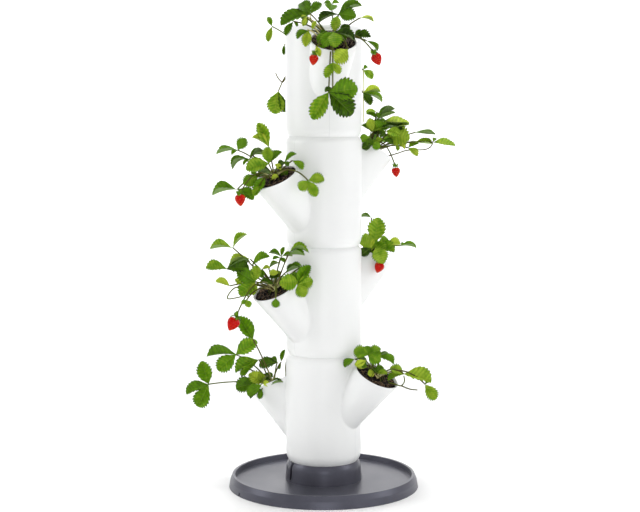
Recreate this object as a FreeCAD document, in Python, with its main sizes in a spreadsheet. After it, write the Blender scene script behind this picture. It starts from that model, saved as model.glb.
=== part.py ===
import FreeCAD, Part
import math
import os
import Sketcher

# Vertical planter tower: four identical tiers stacked on a water tray, each with two planting pockets.
# Millimetres, +Z up. The origin is on the floor at the middle of the tray; the viewer stands at -Y.

os.makedirs("parts", exist_ok=True)
doc = FreeCAD.newDocument("planter_tower")

SIZES = {
    "column_radius": 80.0,
    "tier_pitch": 229.6,
    "wall": 2.6,
    "seam_height": 57.4,
    "foot_height": 17.0,
    "foot_inset": 7.0,
    "foot_line": 0.4,
    "shoulder_height": 13.0,
    "shoulder_inset": 6.5,
    "socket_radius": 71.0,
    "socket_land": 4.0,
    "spigot_gap": 0.4,
    "spigot_depth": 13.0,
    "ledge_width": 6.0,
    "ledge_thickness": 2.0,
    "pocket_tilt": 39.7,
    "pocket_taper": 0.092,
    "pocket_reach": 132.5,
    "pocket_root": 45.0,
    "low_mouth_height": 149.5,
    "high_mouth_height": 195.0,
    "mouth_radius": 47.7,
    "mouth_tilt": 28.1,
    "mouth_overrun": 16.0,
    "cutter_margin": 5.0,
    "pocket_blend": 5.0,
    "lip_round": 1.1,
    "tier_1_turn": -33.4,
    "tier_2_turn": 40.2,
    "tier_3_turn": 41.1,
    "tier_4_turn": -81.6,
    "tray_radius": 202.3,
    "crease_radius": 199.5,
    "crease_height": 15.5,
    "rim_radius": 194.7,
    "rim_height": 26.9,
    "rim_width": 5.5,
    "rim_round": 1.2,
    "basin_radius": 187.0,
    "basin_floor": 16.0,
    "tray_wall": 3.0,
    "collar_foot_radius": 81.8,
    "collar_radius": 80.0,
    "collar_bevel_height": 39.0,
    "collar_top_radius": 74.4,
    "collar_land": 7.0,
    "slot_width": 8.0,
    "slot_bottom": 20.0,
    "slot_turn": -150.0,
    "notch_turn": -151.0,
    "notch_width": 4.6,
    "notch_height": 8.0,
    "rib_count": 8,
    "rib_thickness": 2.5,
    "plate_gap": 0.4,
    "plate_thickness": 3.0,
    "hole_radius": 3.0,
    "inner_ring": 24.0,
    "inner_holes": 8,
    "outer_ring": 48.0,
    "outer_holes": 16,
    "soil_gap": 0.3,
    "soil_drop": 7.0,
    "soil_headroom": 18.0,
    "crown_radius": 8.0,
    "crown_height": 14.0,
    "stalk_radius": 1.2,
    "leaf_thickness": 1.2,
    "leaf_fold": 0.35,
    "berry_width": 0.82,
}

sheet = doc.addObject("Spreadsheet::Sheet", "Sizes")
for row, (alias, value) in enumerate(SIZES.items(), start=1):
    sheet.set("A%d" % row, alias)
    sheet.set("B%d" % row, str(value))
    sheet.setAlias("B%d" % row, alias)
doc.recompute()


def size(alias):
    """The number in the sheet's cell of that name."""
    return float(sheet.get(alias))


def cells(formula):
    """A formula in plain cell names, such as "wall * 2", written for setExpression."""
    for alias in sorted(SIZES, key=len, reverse=True):
        formula = formula.replace(alias, "<%d>" % list(SIZES).index(alias))
    for place, alias in enumerate(SIZES):
        formula = formula.replace("<%d>" % place, "Sizes." + alias)
    return formula


def bind(feature, **formulas):
    """Ties a feature's properties to the sheet; a double underscore stands for a dot."""
    for name, formula in formulas.items():
        feature.setExpression(name.replace("__", "."), cells(formula))


def leaning(side):
    """A turn about Y that leans +Z towards a side's own X, as the start value of a bound Placement."""
    return FreeCAD.Placement(FreeCAD.Vector(), FreeCAD.Rotation(FreeCAD.Vector(0, side, 0), 1))


def turning():
    """A turn about Z, as the start value of a bound Placement."""
    return FreeCAD.Placement(FreeCAD.Vector(), FreeCAD.Rotation(FreeCAD.Vector(0, 0, 1), 1))


def new_body(label):
    body = doc.addObject("PartDesign::Body", label)
    body.Label = label
    return body


def origin_plane(body, role):
    return [feature for feature in body.Origin.OriginFeatures if feature.Role == role][0]


def new_sketch(body, name, role):
    sketch = body.newObject("Sketcher::SketchObject", name)
    sketch.AttachmentSupport = (origin_plane(body, role), [""])
    sketch.MapMode = "FlatFace"
    return sketch


def pin_point(sketch, geometry, point, formula, axis):
    """Fixes one coordinate of a point at a distance from the sketch's origin."""
    expression = cells(formula)
    value = float(sketch.evalExpression(expression))
    place = sketch.addConstraint(Sketcher.Constraint("Distance" + axis, -1, 1, geometry, point, value))
    sketch.setExpression("Constraints[%d]" % place, expression)


def outline(body, name, corners, bends):
    """A closed half section beside the Z axis.

    corners are pairs of formulas, radius and height. bends names, by the corner where the edge
    starts, the edges that are arcs, with the end at which the arc runs straight up.
    """
    sketch = new_sketch(body, name, "YZ_Plane")
    points = []
    for radius, height in corners:
        x = float(sketch.evalExpression(cells(radius)))
        y = float(sketch.evalExpression(cells(height)))
        points.append(FreeCAD.Vector(x, y, 0))
    count = len(points)
    for edge in range(count):
        start = points[edge]
        end = points[(edge + 1) % count]
        if edge not in bends:
            sketch.addGeometry(Part.LineSegment(start, end), False)
            continue
        upright, other = (start, end) if bends[edge] == "start" else (end, start)
        inset = upright.x - other.x
        rise = other.y - upright.y
        bend = (inset * inset + rise * rise) / (2.0 * inset)
        centre = FreeCAD.Vector(upright.x - bend, upright.y, 0)
        first = math.atan2(start.y - centre.y, start.x - centre.x)
        last = math.atan2(end.y - centre.y, end.x - centre.x)
        circle = Part.Circle(centre, FreeCAD.Vector(0, 0, 1), bend)
        arc = Part.ArcOfCircle(circle, min(first, last), max(first, last))
        sketch.addGeometry(arc, False)
    for edge in range(count):
        forward = edge not in bends or points[(edge + 1) % count].y > points[edge].y
        after = (edge + 1) % count
        after_forward = after not in bends or points[(after + 1) % count].y > points[after].y
        sketch.addConstraint(
            Sketcher.Constraint("Coincident", edge, 2 if forward else 1, after, 1 if after_forward else 2))
    for edge, (radius, height) in enumerate(corners):
        forward = edge not in bends or points[(edge + 1) % count].y > points[edge].y
        pin_point(sketch, edge, 1 if forward else 2, radius, "X")
        pin_point(sketch, edge, 1 if forward else 2, height, "Y")
    for edge, where in bends.items():
        height = corners[edge][1] if where == "start" else corners[(edge + 1) % count][1]
        pin_point(sketch, edge, 3, height, "Y")
    return sketch


def revolve(body, name, corners, bends, kind="PartDesign::Revolution"):
    """Turns an outline a full circle about Z, as material or as a groove."""
    sketch = outline(body, name + "_outline", corners, bends)
    doc.recompute()
    feature = body.newObject(kind, name)
    feature.Profile = sketch
    feature.ReferenceAxis = (sketch, ["V_Axis"])
    feature.Angle = 360
    doc.recompute()
    return feature


def edges_where(shape, test):
    """The names of the edges whose sampled points all pass the test, straight lines left out."""
    names = []
    for number, edge in enumerate(shape.Edges, start=1):
        if isinstance(edge.Curve, (Part.Line, Part.LineSegment)):
            continue
        if test(edge.discretize(7)):
            names.append("Edge%d" % number)
    return names


def round_edges(body, name, radius, test):
    """Fillets the edges of the body's last feature that pass the test."""
    base = body.Tip
    names = edges_where(base.Shape, test)
    if not names:
        raise RuntimeError("no edges to round for " + name)
    fillet = body.newObject("PartDesign::Fillet", name)
    fillet.Base = (base, names)
    bind(fillet, Radius=radius)
    doc.recompute()
    return fillet


# The tiers

POCKETS = {"high": (1, "high_mouth_height"), "low": (-1, "low_mouth_height")}


def pocket_cone(body, name, kind, pocket, inset):
    """A cone along the pocket's axis, from inside the column to beyond the mouth.

    Its radius at the mouth's middle is mouth_radius less the inset.
    """
    side, height = POCKETS[pocket]
    depth = "(pocket_reach - pocket_root) / sin(pocket_tilt * 1deg)"
    cone = body.newObject(kind, name)
    cone.Placement = leaning(side)
    bind(
        cone,
        Radius1="mouth_radius - (%s) - pocket_taper * %s" % (inset, depth),
        Radius2="mouth_radius - (%s) + pocket_taper * mouth_overrun" % inset,
        Height="%s + mouth_overrun" % depth,
        Placement__Rotation__Angle="pocket_tilt",
        Placement__Base__x="%d * pocket_root" % side,
        Placement__Base__z="%s - %s * cos(pocket_tilt * 1deg)" % (height, depth),
    )
    doc.recompute()
    return cone


def mouth_cut(body, name, pocket, drop):
    """Cuts a pocket's cone off along the leaning plane of its mouth, lowered by drop."""
    side, height = POCKETS[pocket]
    half = "(mouth_radius + cutter_margin)"
    cutter = body.newObject("PartDesign::SubtractiveBox", name)
    cutter.Placement = leaning(side)
    bind(
        cutter,
        Length="2 * " + half,
        Width="2 * " + half,
        Height="mouth_radius",
        Placement__Rotation__Angle="mouth_tilt",
        Placement__Base__x="%d * pocket_reach - %s * cos(mouth_tilt * 1deg)" % (side, half),
        Placement__Base__y="-" + half,
        Placement__Base__z="%s - (%s) + %d * %s * sin(mouth_tilt * 1deg)" % (height, drop, side, half),
    )
    doc.recompute()
    return cutter


def set_on_tier(piece, number):
    """Stands a piece made about its own seam plane at its tier's height and turn."""
    piece.Placement = turning()
    bind(
        piece,
        Placement__Base__z="seam_height + %d * tier_pitch" % (number - 1),
        Placement__Rotation__Angle="tier_%d_turn" % number,
    )


def at_junction(points):
    """True on a curve where a pocket meets the column's wall."""
    heights = [point.z for point in points]
    on_wall = all(abs(math.hypot(point.x, point.y) - size("column_radius")) < 0.02 for point in points)
    return on_wall and max(heights) - min(heights) > 1.0


def at_mouth(points):
    """True on a pocket's rim, which lies in the leaning plane of its mouth."""
    lean = math.radians(size("mouth_tilt"))
    for side, height in POCKETS.values():
        off = [
            (side * point.x - size("pocket_reach")) * math.sin(lean) + (point.z - size(height)) * math.cos(lean)
            for point in points
        ]
        if max(abs(value) for value in off) < 0.01 and side * points[0].x > size("column_radius"):
            return True
    return False


def tier_shell(number):
    """One moulded tier: column, foot, spigot, shoulder, socket and two pockets, hollow throughout."""
    body = new_body("tier_%d_shell" % number)
    spigot = "socket_radius - spigot_gap"
    revolve(
        body,
        "column",
        [
            ("0", "-spigot_depth"),
            (spigot, "-spigot_depth"),
            (spigot, "0"),
            ("column_radius - foot_inset", "0"),
            ("column_radius - foot_line", "foot_height"),
            ("column_radius", "foot_height"),
            ("column_radius", "tier_pitch - shoulder_height"),
            ("column_radius - shoulder_inset", "tier_pitch"),
            ("0", "tier_pitch"),
        ],
        {3: "end", 6: "start"},
    )
    for pocket in POCKETS:
        pocket_cone(body, pocket + "_pocket", "PartDesign::AdditiveCone", pocket, "0")
        mouth_cut(body, pocket + "_mouth", pocket, "0")
    round_edges(body, "pocket_blends", "pocket_blend", at_junction)
    revolve(
        body,
        "hollow",
        [
            ("0", "-spigot_depth"),
            (spigot + " - wall - ledge_width", "-spigot_depth"),
            (spigot + " - wall - ledge_width", "ledge_thickness - spigot_depth"),
            (spigot + " - wall", "ledge_thickness - spigot_depth"),
            (spigot + " - wall", "wall"),
            ("column_radius - foot_inset - wall", "wall"),
            ("column_radius - wall", "foot_height"),
            ("column_radius - wall", "tier_pitch - shoulder_height"),
            ("socket_radius", "tier_pitch - socket_land"),
            ("socket_radius", "tier_pitch"),
            ("0", "tier_pitch"),
        ],
        {5: "end", 7: "start"},
        "PartDesign::Groove",
    )
    for pocket in POCKETS:
        pocket_cone(body, pocket + "_cavity", "PartDesign::SubtractiveCone", pocket, "wall")
    round_edges(body, "lips", "lip_round", at_mouth)
    set_on_tier(body, number)
    return body


def hole_ring(body, name, ring, count):
    """Drain holes evenly round one ring of the plate."""
    sketch = new_sketch(body, name + "_hole", "XY_Plane")
    sketch.addGeometry(Part.Circle(FreeCAD.Vector(size(ring), 0, 0), FreeCAD.Vector(0, 0, 1), 1.0), False)
    sketch.addConstraint(Sketcher.Constraint("PointOnObject", 0, 3, -1))
    pin_point(sketch, 0, 3, ring, "X")
    place = sketch.addConstraint(Sketcher.Constraint("Radius", 0, size("hole_radius")))
    sketch.setExpression("Constraints[%d]" % place, cells("hole_radius"))
    hole = body.newObject("PartDesign::Pocket", name)
    hole.Profile = sketch
    hole.Type = "ThroughAll"
    hole.Reversed = True
    doc.recompute()
    pattern = body.newObject("PartDesign::PolarPattern", name + "_ring")
    pattern.Originals = [hole]
    pattern.Axis = (sketch, ["N_Axis"])
    pattern.Angle = 360
    bind(pattern, Occurrences=count)
    body.Tip = pattern
    doc.recompute()


def drain_plate(number):
    """The loose perforated disc that lies on the ledge in the spigot and keeps the soil in."""
    body = new_body("tier_%d_drain_plate" % number)
    sketch = new_sketch(body, "disc_outline", "XY_Plane")
    sketch.addGeometry(Part.Circle(FreeCAD.Vector(), FreeCAD.Vector(0, 0, 1), 1.0), False)
    sketch.addConstraint(Sketcher.Constraint("Coincident", 0, 3, -1, 1))
    expression = cells("socket_radius - spigot_gap - wall - plate_gap")
    radius = float(sketch.evalExpression(expression))
    place = sketch.addConstraint(Sketcher.Constraint("Radius", 0, radius))
    sketch.setExpression("Constraints[%d]" % place, expression)
    disc = body.newObject("PartDesign::Pad", "disc")
    disc.Profile = sketch
    bind(disc, Length="plate_thickness")
    doc.recompute()
    hole_ring(body, "inner", "inner_ring", "inner_holes")
    hole_ring(body, "outer", "outer_ring", "outer_holes")
    set_on_tier(body, number)
    bind(body, Placement__Base__z="seam_height + %d * tier_pitch + ledge_thickness - spigot_depth" % (number - 1))
    return body


def tier_soil(number):
    """The soil that fills one tier from its drain plate up, with a tongue in each pocket."""
    body = new_body("tier_%d_soil" % number)
    spigot = "socket_radius - spigot_gap - wall - soil_gap"
    bottom = "ledge_thickness + plate_thickness - spigot_depth"
    revolve(
        body,
        "fill",
        [
            ("0", bottom),
            (spigot, bottom),
            (spigot, "wall + soil_gap"),
            ("column_radius - foot_inset - wall - soil_gap", "wall + soil_gap"),
            ("column_radius - wall - soil_gap", "foot_height"),
            ("column_radius - wall - soil_gap", "tier_pitch - soil_headroom"),
            ("0", "tier_pitch - soil_headroom"),
        ],
        {3: "end"},
    )
    for pocket in POCKETS:
        pocket_cone(body, pocket + "_tongue", "PartDesign::AdditiveCone", pocket, "wall + soil_gap")
        mouth_cut(body, pocket + "_surface", pocket, "soil_drop")
    set_on_tier(body, number)
    return body


# The tray


def tray():
    """The water tray: basin, rim, skirt and the collar that carries the column, moulded as one."""
    body = new_body("tray")
    under = "basin_floor - tray_wall"
    revolve(
        body,
        "dish",
        [
            ("0", "0"),
            ("collar_foot_radius", "0"),
            ("collar_foot_radius", under),
            ("basin_radius + tray_wall", under),
            ("rim_radius - rim_width + tray_wall", "rim_height - tray_wall"),
            ("crease_radius - tray_wall", "crease_height - tray_wall"),
            ("tray_radius - tray_wall", "0"),
            ("tray_radius", "0"),
            ("crease_radius", "crease_height"),
            ("rim_radius", "rim_height"),
            ("rim_radius - rim_width", "rim_height"),
            ("basin_radius", "basin_floor"),
            ("collar_foot_radius", "basin_floor"),
            ("collar_radius", "collar_bevel_height"),
            ("collar_top_radius", "seam_height"),
            ("socket_radius", "seam_height"),
            ("socket_radius", "seam_height - collar_land"),
            ("collar_radius - tray_wall", "collar_bevel_height"),
            ("collar_foot_radius - tray_wall", "basin_floor"),
            ("collar_foot_radius - tray_wall", "tray_wall"),
            ("0", "tray_wall"),
        ],
        {13: "start"},
    )
    rib = body.newObject("PartDesign::AdditiveBox", "rib")
    bind(
        rib,
        Length="basin_radius + 1.5 * tray_wall - collar_foot_radius",
        Width="rib_thickness",
        Height="basin_floor - tray_wall",
        Placement__Base__x="collar_foot_radius - tray_wall / 2",
        Placement__Base__y="-rib_thickness / 2",
    )
    doc.recompute()
    ribs = body.newObject("PartDesign::PolarPattern", "ribs")
    ribs.Originals = [rib]
    ribs.Axis = (origin_plane(body, "Z_Axis"), [""])
    ribs.Angle = 360
    bind(ribs, Occurrences="rib_count")
    body.Tip = ribs
    doc.recompute()
    slot = body.newObject("PartDesign::SubtractiveBox", "collar_slots")
    slot.Placement = turning()
    reach = "(collar_foot_radius + cutter_margin)"
    bind(
        slot,
        Length="2 * " + reach,
        Width="slot_width",
        Height="seam_height - slot_bottom + cutter_margin",
        Placement__Rotation__Angle="slot_turn",
        Placement__Base__x="-%s * cos(slot_turn * 1deg) + slot_width / 2 * sin(slot_turn * 1deg)" % reach,
        Placement__Base__y="-%s * sin(slot_turn * 1deg) - slot_width / 2 * cos(slot_turn * 1deg)" % reach,
        Placement__Base__z="slot_bottom",
    )
    doc.recompute()
    notch = body.newObject("PartDesign::SubtractiveBox", "skirt_notch")
    notch.Placement = turning()
    near = "(basin_radius + 2 * tray_wall)"
    bind(
        notch,
        Length="tray_radius - basin_radius",
        Width="notch_width",
        Height="notch_height",
        Placement__Rotation__Angle="notch_turn",
        Placement__Base__x="%s * cos(notch_turn * 1deg) + notch_width / 2 * sin(notch_turn * 1deg)" % near,
        Placement__Base__y="%s * sin(notch_turn * 1deg) - notch_width / 2 * cos(notch_turn * 1deg)" % near,
    )
    doc.recompute()
    round_edges(body, "rim_edges", "rim_round", at_rim)
    return body


def at_rim(points):
    """True on the two circles at the top of the tray's rim."""
    return all(abs(point.z - size("rim_height")) < 0.01 for point in points)


# The plants

# Each plant is measured from the middle of its pocket's mouth, in axes of its own that stay with
# the tier: right, back and up. facing is the angle from the tier's own axes to those axes, so they
# line up with the row's axes when the tier stands at its rest turn.
# A leaf is the place of its stalk's end, how far the stalk's bow stands above the straight line,
# and its leaflets. A leaflet is the place of its tip from the stalk's end, the angle from lying
# flat, 0, to showing its upper side to the front, 90, and its width over its length.

PLANTS = {
    "tier_1_right": {
        "tier": 1,
        "pocket": "high",
        "facing": 33.4,
        "leaves": [
            ((-18, 0, 42), 4, [
                (-30, 2, 10, 75, 0.82), (26, 4, 14, 42, 0.7), (8, -12, -14, 75, 0.95),
                (-4, 4, 19, 60, 0.95),
            ]),
            ((-46, 0, 34), 6, [(-22, 0, -17, 32, 0.7), (25, -4, -3, 6, 0.5)]),
            ((-20, -6, 18), 2, [(-26, -3, 7, 52, 0.72)]),
            ((4, 4, 38), 6, [(32, 0, -15, 26, 0.7), (18, 3, 8, 6, 0.5)]),
            ((-4, -6, 8), 2, [(18, 0, 9, 60, 0.8), (-15, -8, -4, 80, 0.85), (25, -5, -5, 25, 0.6)]),
            ((56, -6, 3), 14, [(-28, 4, 14, 52, 0.7), (-34, -6, -10, 25, 0.6), (58, 0, -15, 44, 0.58)]),
            ((100, -8, -18), 22, [(22, -4, -32, 78, 0.62), (12, 10, 8, 40, 0.6)]),
        ],
        "berries": [],
    },
    "tier_1_left": {
        "tier": 1,
        "pocket": "low",
        "facing": 33.4,
        "leaves": [
            ((-140, 0, -2), 6, [
                (-15, 0, 51, 78, 0.6), (-52, 0, -22, 38, 0.56), (-24, 0, -51, 78, 0.62),
            ]),
            ((-80, -4, 64), 10, [
                (-64, 2, -3, 20, 0.62), (-40, -6, -33, 78, 0.66), (46, 0, 30, 62, 0.6),
            ]),
            ((-40, -55, 106), 4, [(-31, -8, 51, 65, 0.5)]),
            ((-30, -8, 54), 6, [(-52, -4, -26, 38, 0.5), (-32, -8, -34, 45, 0.36)]),
            ((10, 0, 47), 8, [(-40, 0, -9, 48, 0.72), (-14, 6, 9, 25, 0.6)]),
            ((18, 8, 46), 6, [(8, 2, 27, 45, 0.34), (-5, 2, -17, 50, 0.4)]),
            ((-18, -6, 2), 2, [(-34, -4, 20, 66, 0.7), (-10, -6, 24, 75, 0.55), (16, 0, 14, 35, 0.6)]),
            ((-34, -10, 2), 8, [(-47, 0, -9, 62, 0.72)]),
            ((-22, -52, 8), 18, [(-30, -4, -24, 55, 0.6)]),
        ],
        "berries": [],
    },
    "tier_2_right": {
        "tier": 2,
        "pocket": "high",
        "facing": -40.2,
        "leaves": [
            ((8, -4, 31), 2, [
                (10, 2, 56, 75, 0.66), (-31, -30, 4, 70, 0.9), (20, -36, -20, 78, 0.74),
                (46, 4, -18, 60, 0.5),
            ]),
            ((-6, 4, 20), 2, [(-16, 2, -12, 60, 0.7), (14, 16, 26, 50, 0.7)]),
            ((3, 10, 86), 2, [(-24, 2, 3, 14, 0.6)]),
            ((36, 2, 32), 6, [(30, 0, -3, 42, 0.74)]),
            ((66, 2, 25), 10, [(35, 0, -1, 10, 0.5), (12, 12, 4, 20, 0.6)]),
            ((20, 34, 24), 8, [(26, 18, 8, 40, 0.74), (-4, 34, 4, 40, 0.74), (-26, 22, 10, 40, 0.74)]),
        ],
        "berries": [((22, -58, -5), 26, (-10, -4, -22), 24)],
    },
    "tier_2_left": {
        "tier": 2,
        "pocket": "low",
        "facing": -40.2,
        "leaves": [
            ((-86, 4, 83), 4, [(-47, 0, -2, 14, 0.62), (29, 0, 29, 24, 0.42)]),
            ((-98, -4, 40), 8, [(-44, 0, 2, 40, 0.64), (46, 0, 3, 50, 0.72), (46, 12, 18, 6, 0.6)]),
            ((-40, -10, 14), 4, [
                (-36, -6, 22, 72, 0.72), (4, 2, 34, 70, 0.62), (-32, -10, -26, 78, 0.7),
                (-4, -10, -26, 82, 0.55),
            ]),
            ((-46, 0, 48), 4, [(35, 0, 20, 26, 0.7)]),
            ((14, 8, 64), 4, [(-26, 2, 9, 24, 0.5), (6, 4, 20, 45, 0.42), (23, 0, 2, 22, 0.5)]),
            ((12, 4, 62), 2, [(10, -10, -8, 60, 0.55), (-16, -8, -2, 40, 0.5)]),
            ((28, -6, 69), 4, [(42, -6, 8, 16, 0.5), (34, -8, 1, 6, 0.45)]),
            ((25, 2, 34), 4, [(30, 0, 14, 14, 0.6)]),
            ((48, -32, 12), 10, [(26, 2, 38, 62, 0.5), (31, -5, 8, 85, 0.82), (15, -8, -25, 80, 0.84)]),
            ((50, -34, 17), 8, [(-38, -16, -1, 78, 0.78), (-12, 8, 18, 50, 0.6)]),
            ((12, -4, 22), 2, [(-24, 0, 1, 30, 0.7), (-8, 4, 14, 50, 0.7)]),
            ((-12, 4, 40), 2, [(20, 2, 13, 8, 0.5)]),
            ((0, -8, 8), 1, [(-30, -5, 6, 28, 0.6)]),
            ((-92, -6, 5), 8, [(-29, 0, 12, 32, 0.64)]),
            ((-56, -34, -20), 14, [(6, -6, -15, 72, 0.8), (-10, -4, -8, 60, 0.7)]),
            ((4, -55, -14), 20, [(0, -3, -19, 88, 0.86)]),
        ],
        "berries": [((-78, -38, -56), 40, (-16, -4, -30), 30)],
    },
    "tier_3_right": {
        "tier": 3,
        "pocket": "high",
        "facing": -41.1,
        "leaves": [
            ((16, 0, 70), 2, [(38, 0, 15, 22, 0.62), (-24, 4, 12, 32, 0.6), (38, 6, 22, 5, 0.45)]),
            ((24, -2, 62), 2, [(55, 0, -5, 18, 0.46), (10, 16, 6, 40, 0.7)]),
            ((2, -6, 42), 2, [(-2, 0, 30, 72, 0.62), (30, -4, 14, 40, 0.6)]),
            ((26, 0, 50), 4, [(48, 0, -4, 18, 0.55), (-16, -4, 18, 50, 0.8)]),
            ((10, -4, 50), 2, [(-21, 0, 8, 40, 0.74), (30, -10, 2, 60, 0.74)]),
            ((38, 0, 36), 4, [(46, -18, -6, 76, 0.88), (22, -8, -20, 60, 0.66), (-32, 0, 2, 28, 0.6)]),
            ((60, 4, 30), 6, [(16, -6, -20, 45, 0.6), (-18, -8, -14, 50, 0.6)]),
            ((0, -12, 26), 2, [
                (-22, -5, 4, 78, 0.74), (-14, -6, -17, 72, 0.74), (18, -8, -20, 78, 0.74),
            ]),
            ((4, 0, 38), 1, [(28, 0, 2, 28, 0.7)]),
            ((98, 6, 41), 6, [(43, 0, -4, 12, 0.56)]),
            ((82, -4, 8), 10, [(21, -4, -17, 50, 0.62), (24, 12, 10, 30, 0.6)]),
            ((98, 0, 20), 6, [(37, 0, -3, 24, 0.62)]),
            ((136, 2, 20), 10, [(49, 0, -2, 26, 0.62), (8, 10, 8, 30, 0.6)]),
            ((26, 40, 20), 8, [(28, 22, 4, 40, 0.74), (-6, 36, 2, 40, 0.74), (-30, 18, 8, 40, 0.74)]),
        ],
        "berries": [((56, 8, -34), 36, (2, -1, -22), 22)],
    },
    "tier_3_left": {
        "tier": 3,
        "pocket": "low",
        "facing": -41.1,
        "leaves": [
            ((-12, 2, 60), 2, [(-22, 0, 50, 72, 0.44), (-33, -8, 22, 40, 0.5)]),
            ((-76, 0, 54), 8, [(-44, 0, -6, 12, 0.56), (17, 2, 24, 68, 0.78), (-12, -6, -9, 30, 0.6)]),
            ((-52, 2, 36), 6, [(-35, 0, -21, 16, 0.5), (-12, -6, -12, 30, 0.5), (26, 8, 18, 8, 0.5)]),
            ((-12, -10, 27), 2, [
                (-46, -8, -12, 62, 0.68), (-4, 2, 34, 80, 0.66), (26, 6, 25, 40, 0.5),
            ]),
            ((-34, -12, 0), 4, [(-30, -8, -14, 82, 0.78), (27, 4, 8, 8, 0.5), (-14, 6, 8, 45, 0.6)]),
            ((-76, -18, -25), 16, [(-52, 0, -8, 20, 0.56), (34, -4, -19, 58, 0.6)]),
            ((-30, -32, -17), 12, [(-12, -6, -20, 68, 0.62)]),
            ((20, 4, 30), 2, [(-14, -4, -4, 65, 0.8), (24, 4, 17, 24, 0.6), (8, -8, -8, 60, 0.7)]),
            ((36, 2, 33), 4, [(22, 0, -18, 45, 0.6)]),
            ((68, -38, -6), 20, [
                (33, 2, 3, 60, 0.68), (-17, -4, -19, 82, 0.84), (17, -2, -32, 82, 0.56),
            ]),
            ((2, -4, 14), 1, [(12, 0, 11, 45, 0.7)]),
        ],
        "berries": [((-70, -42, -33), 26, (2, -2, -26), 25)],
    },
    "tier_4_front": {
        "tier": 4,
        "pocket": "high",
        "facing": 81.6,
        "leaves": [
            ((-46, 8, 52), 4, [(-60, -6, -22, 42, 0.6), (-20, 12, 24, 70, 0.82), (22, 4, 22, 60, 0.6)]),
            ((-80, 8, 37), 8, [(-16, 0, -28, 62, 0.42), (8, 2, -10, 60, 0.5)]),
            ((-52, 2, 46), 2, [(-8, -2, -17, 70, 0.7), (-12, -8, -4, 60, 0.7)]),
            ((-50, -12, 18), 6, [(-23, -4, -16, 45, 0.56), (-6, -8, -32, 82, 0.56)]),
            ((-4, 14, 76), 2, [(-2, -22, -16, 90, 0.9), (-16, 10, 4, 30, 0.7), (16, 10, 4, 40, 0.7)]),
            ((10, 4, 52), 2, [(46, 2, 20, 24, 0.56), (34, -14, -4, 74, 0.76), (-42, 2, -14, 22, 0.64)]),
            ((8, -8, 48), 2, [(-7, -12, -31, 82, 0.58)]),
            ((12, -6, 14), 1, [(20, 0, 14, 40, 0.7)]),
            ((0, -26, 14), 1, [
                (4, -18, -30, 86, 0.8), (-22, -6, -26, 80, 0.74), (42, -4, -14, 36, 0.5),
            ]),
            ((42, -4, 5), 4, [(32, -6, 2, 44, 0.74), (16, 6, 13, 40, 0.6)]),
            ((66, -10, -2), 8, [(22, 0, -20, 35, 0.36)]),
            ((54, 6, 44), 6, [(27, 0, -5, 16, 0.7)]),
            ((28, -50, -20), 20, [(-25, -8, -26, 86, 0.8)]),
            ((-2, -58, -46), 38, [(-14, -3, -30, 80, 0.5), (14, -2, -22, 80, 0.6)]),
            ((-10, -58, -104), 62, [
                (57, -5, 7, 78, 0.74), (47, 0, -44, 82, 0.66), (-32, -3, -53, 80, 0.52),
            ]),
        ],
        "berries": [((-38, -50, -31), 26, (-3, -3, -20), 21), ((81, -24, -28), 26, (10, -2, -22), 25)],
    },
    "tier_4_back": {
        "tier": 4,
        "pocket": "low",
        "facing": 81.6,
        "leaves": [
            ((-80, 38, -54), 36, [(-9, 2, -50, 86, 0.74), (14, 6, -47, 72, 0.34)]),
            ((-93, 16, 86), 12, [(-9, 2, 21, 72, 0.5), (-9, 0, -33, 76, 0.4)]),
            ((-66, 14, 48), 8, [(-1, 0, -24, 35, 0.32)]),
            ((106, 14, -8), 24, [(21, 0, -19, 55, 0.66), (10, 8, 8, 50, 0.6)]),
            ((106, 22, -58), 44, [(39, 2, 4, 26, 0.6), (44, 2, -17, 22, 0.56), (18, -2, -26, 65, 0.6)]),
            ((-24, 38, 34), 6, [(-34, 18, 6, 45, 0.74), (0, 36, 4, 45, 0.74), (28, 20, 8, 45, 0.74)]),
            ((34, 36, 22), 6, [(32, 8, 4, 45, 0.74), (12, 36, -4, 45, 0.74), (-20, 24, 12, 45, 0.74)]),
            ((2, 62, -20), 20, [
                (-24, 12, -28, 80, 0.74), (4, 16, -36, 85, 0.74), (28, 8, -20, 75, 0.74),
            ]),
        ],
        "berries": [((-10, 58, -46), 40, (0, 4, -24), 24)],
    },
}


def solid_of(facets):
    """A solid bounded by flat facets, each a list of corners."""
    solid = Part.makeSolid(Part.makeShell([Part.Face(Part.makePolygon(f + f[:1])) for f in facets]))
    if solid.Volume < 0:
        solid.reverse()
    return solid


def leaflet(base, reach, face, share):
    """A blade as a keeled, drooping plate of even thickness, widest past its middle.

    share is its width over its length. The narrower a blade is, the more it is folded.
    """
    length = reach.Length
    width = length * share
    fold = size("leaf_fold") * max(0.74 - share, 0)
    along = FreeCAD.Vector(reach).normalize()
    turn = math.radians(face)
    seen = FreeCAD.Vector(0, -math.sin(turn), math.cos(turn))
    out = (seen - along * along.dot(seen)).normalize()
    across = out.cross(along)

    def at(forward, sideways, raised):
        return base + along * (forward * length) + across * (sideways * width) + out * (raised * length)

    middle = at(0.52, 0, 0.03)
    rims = []
    for side in (1, -1):
        rim = [
            at(0.16, 0.19 * side, 0.04 + 0.4 * fold),
            at(0.5, 0.5 * side, 0.09 + fold),
            at(0.84, 0.37 * side, 0.04 + 0.7 * fold),
        ]
        loop = [at(0, 0, 0)] + rim + [at(1, 0, -0.04)]
        rims += list(zip(loop[:-1], loop[1:]))
    tops = [[middle, near, far] for near, far in rims]
    down = out * -size("leaf_thickness")
    unders = [[corner + down for corner in facet] for facet in tops]
    edges = [[near, far, far + down, near + down] for near, far in rims]
    return solid_of(tops + unders + edges)


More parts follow.
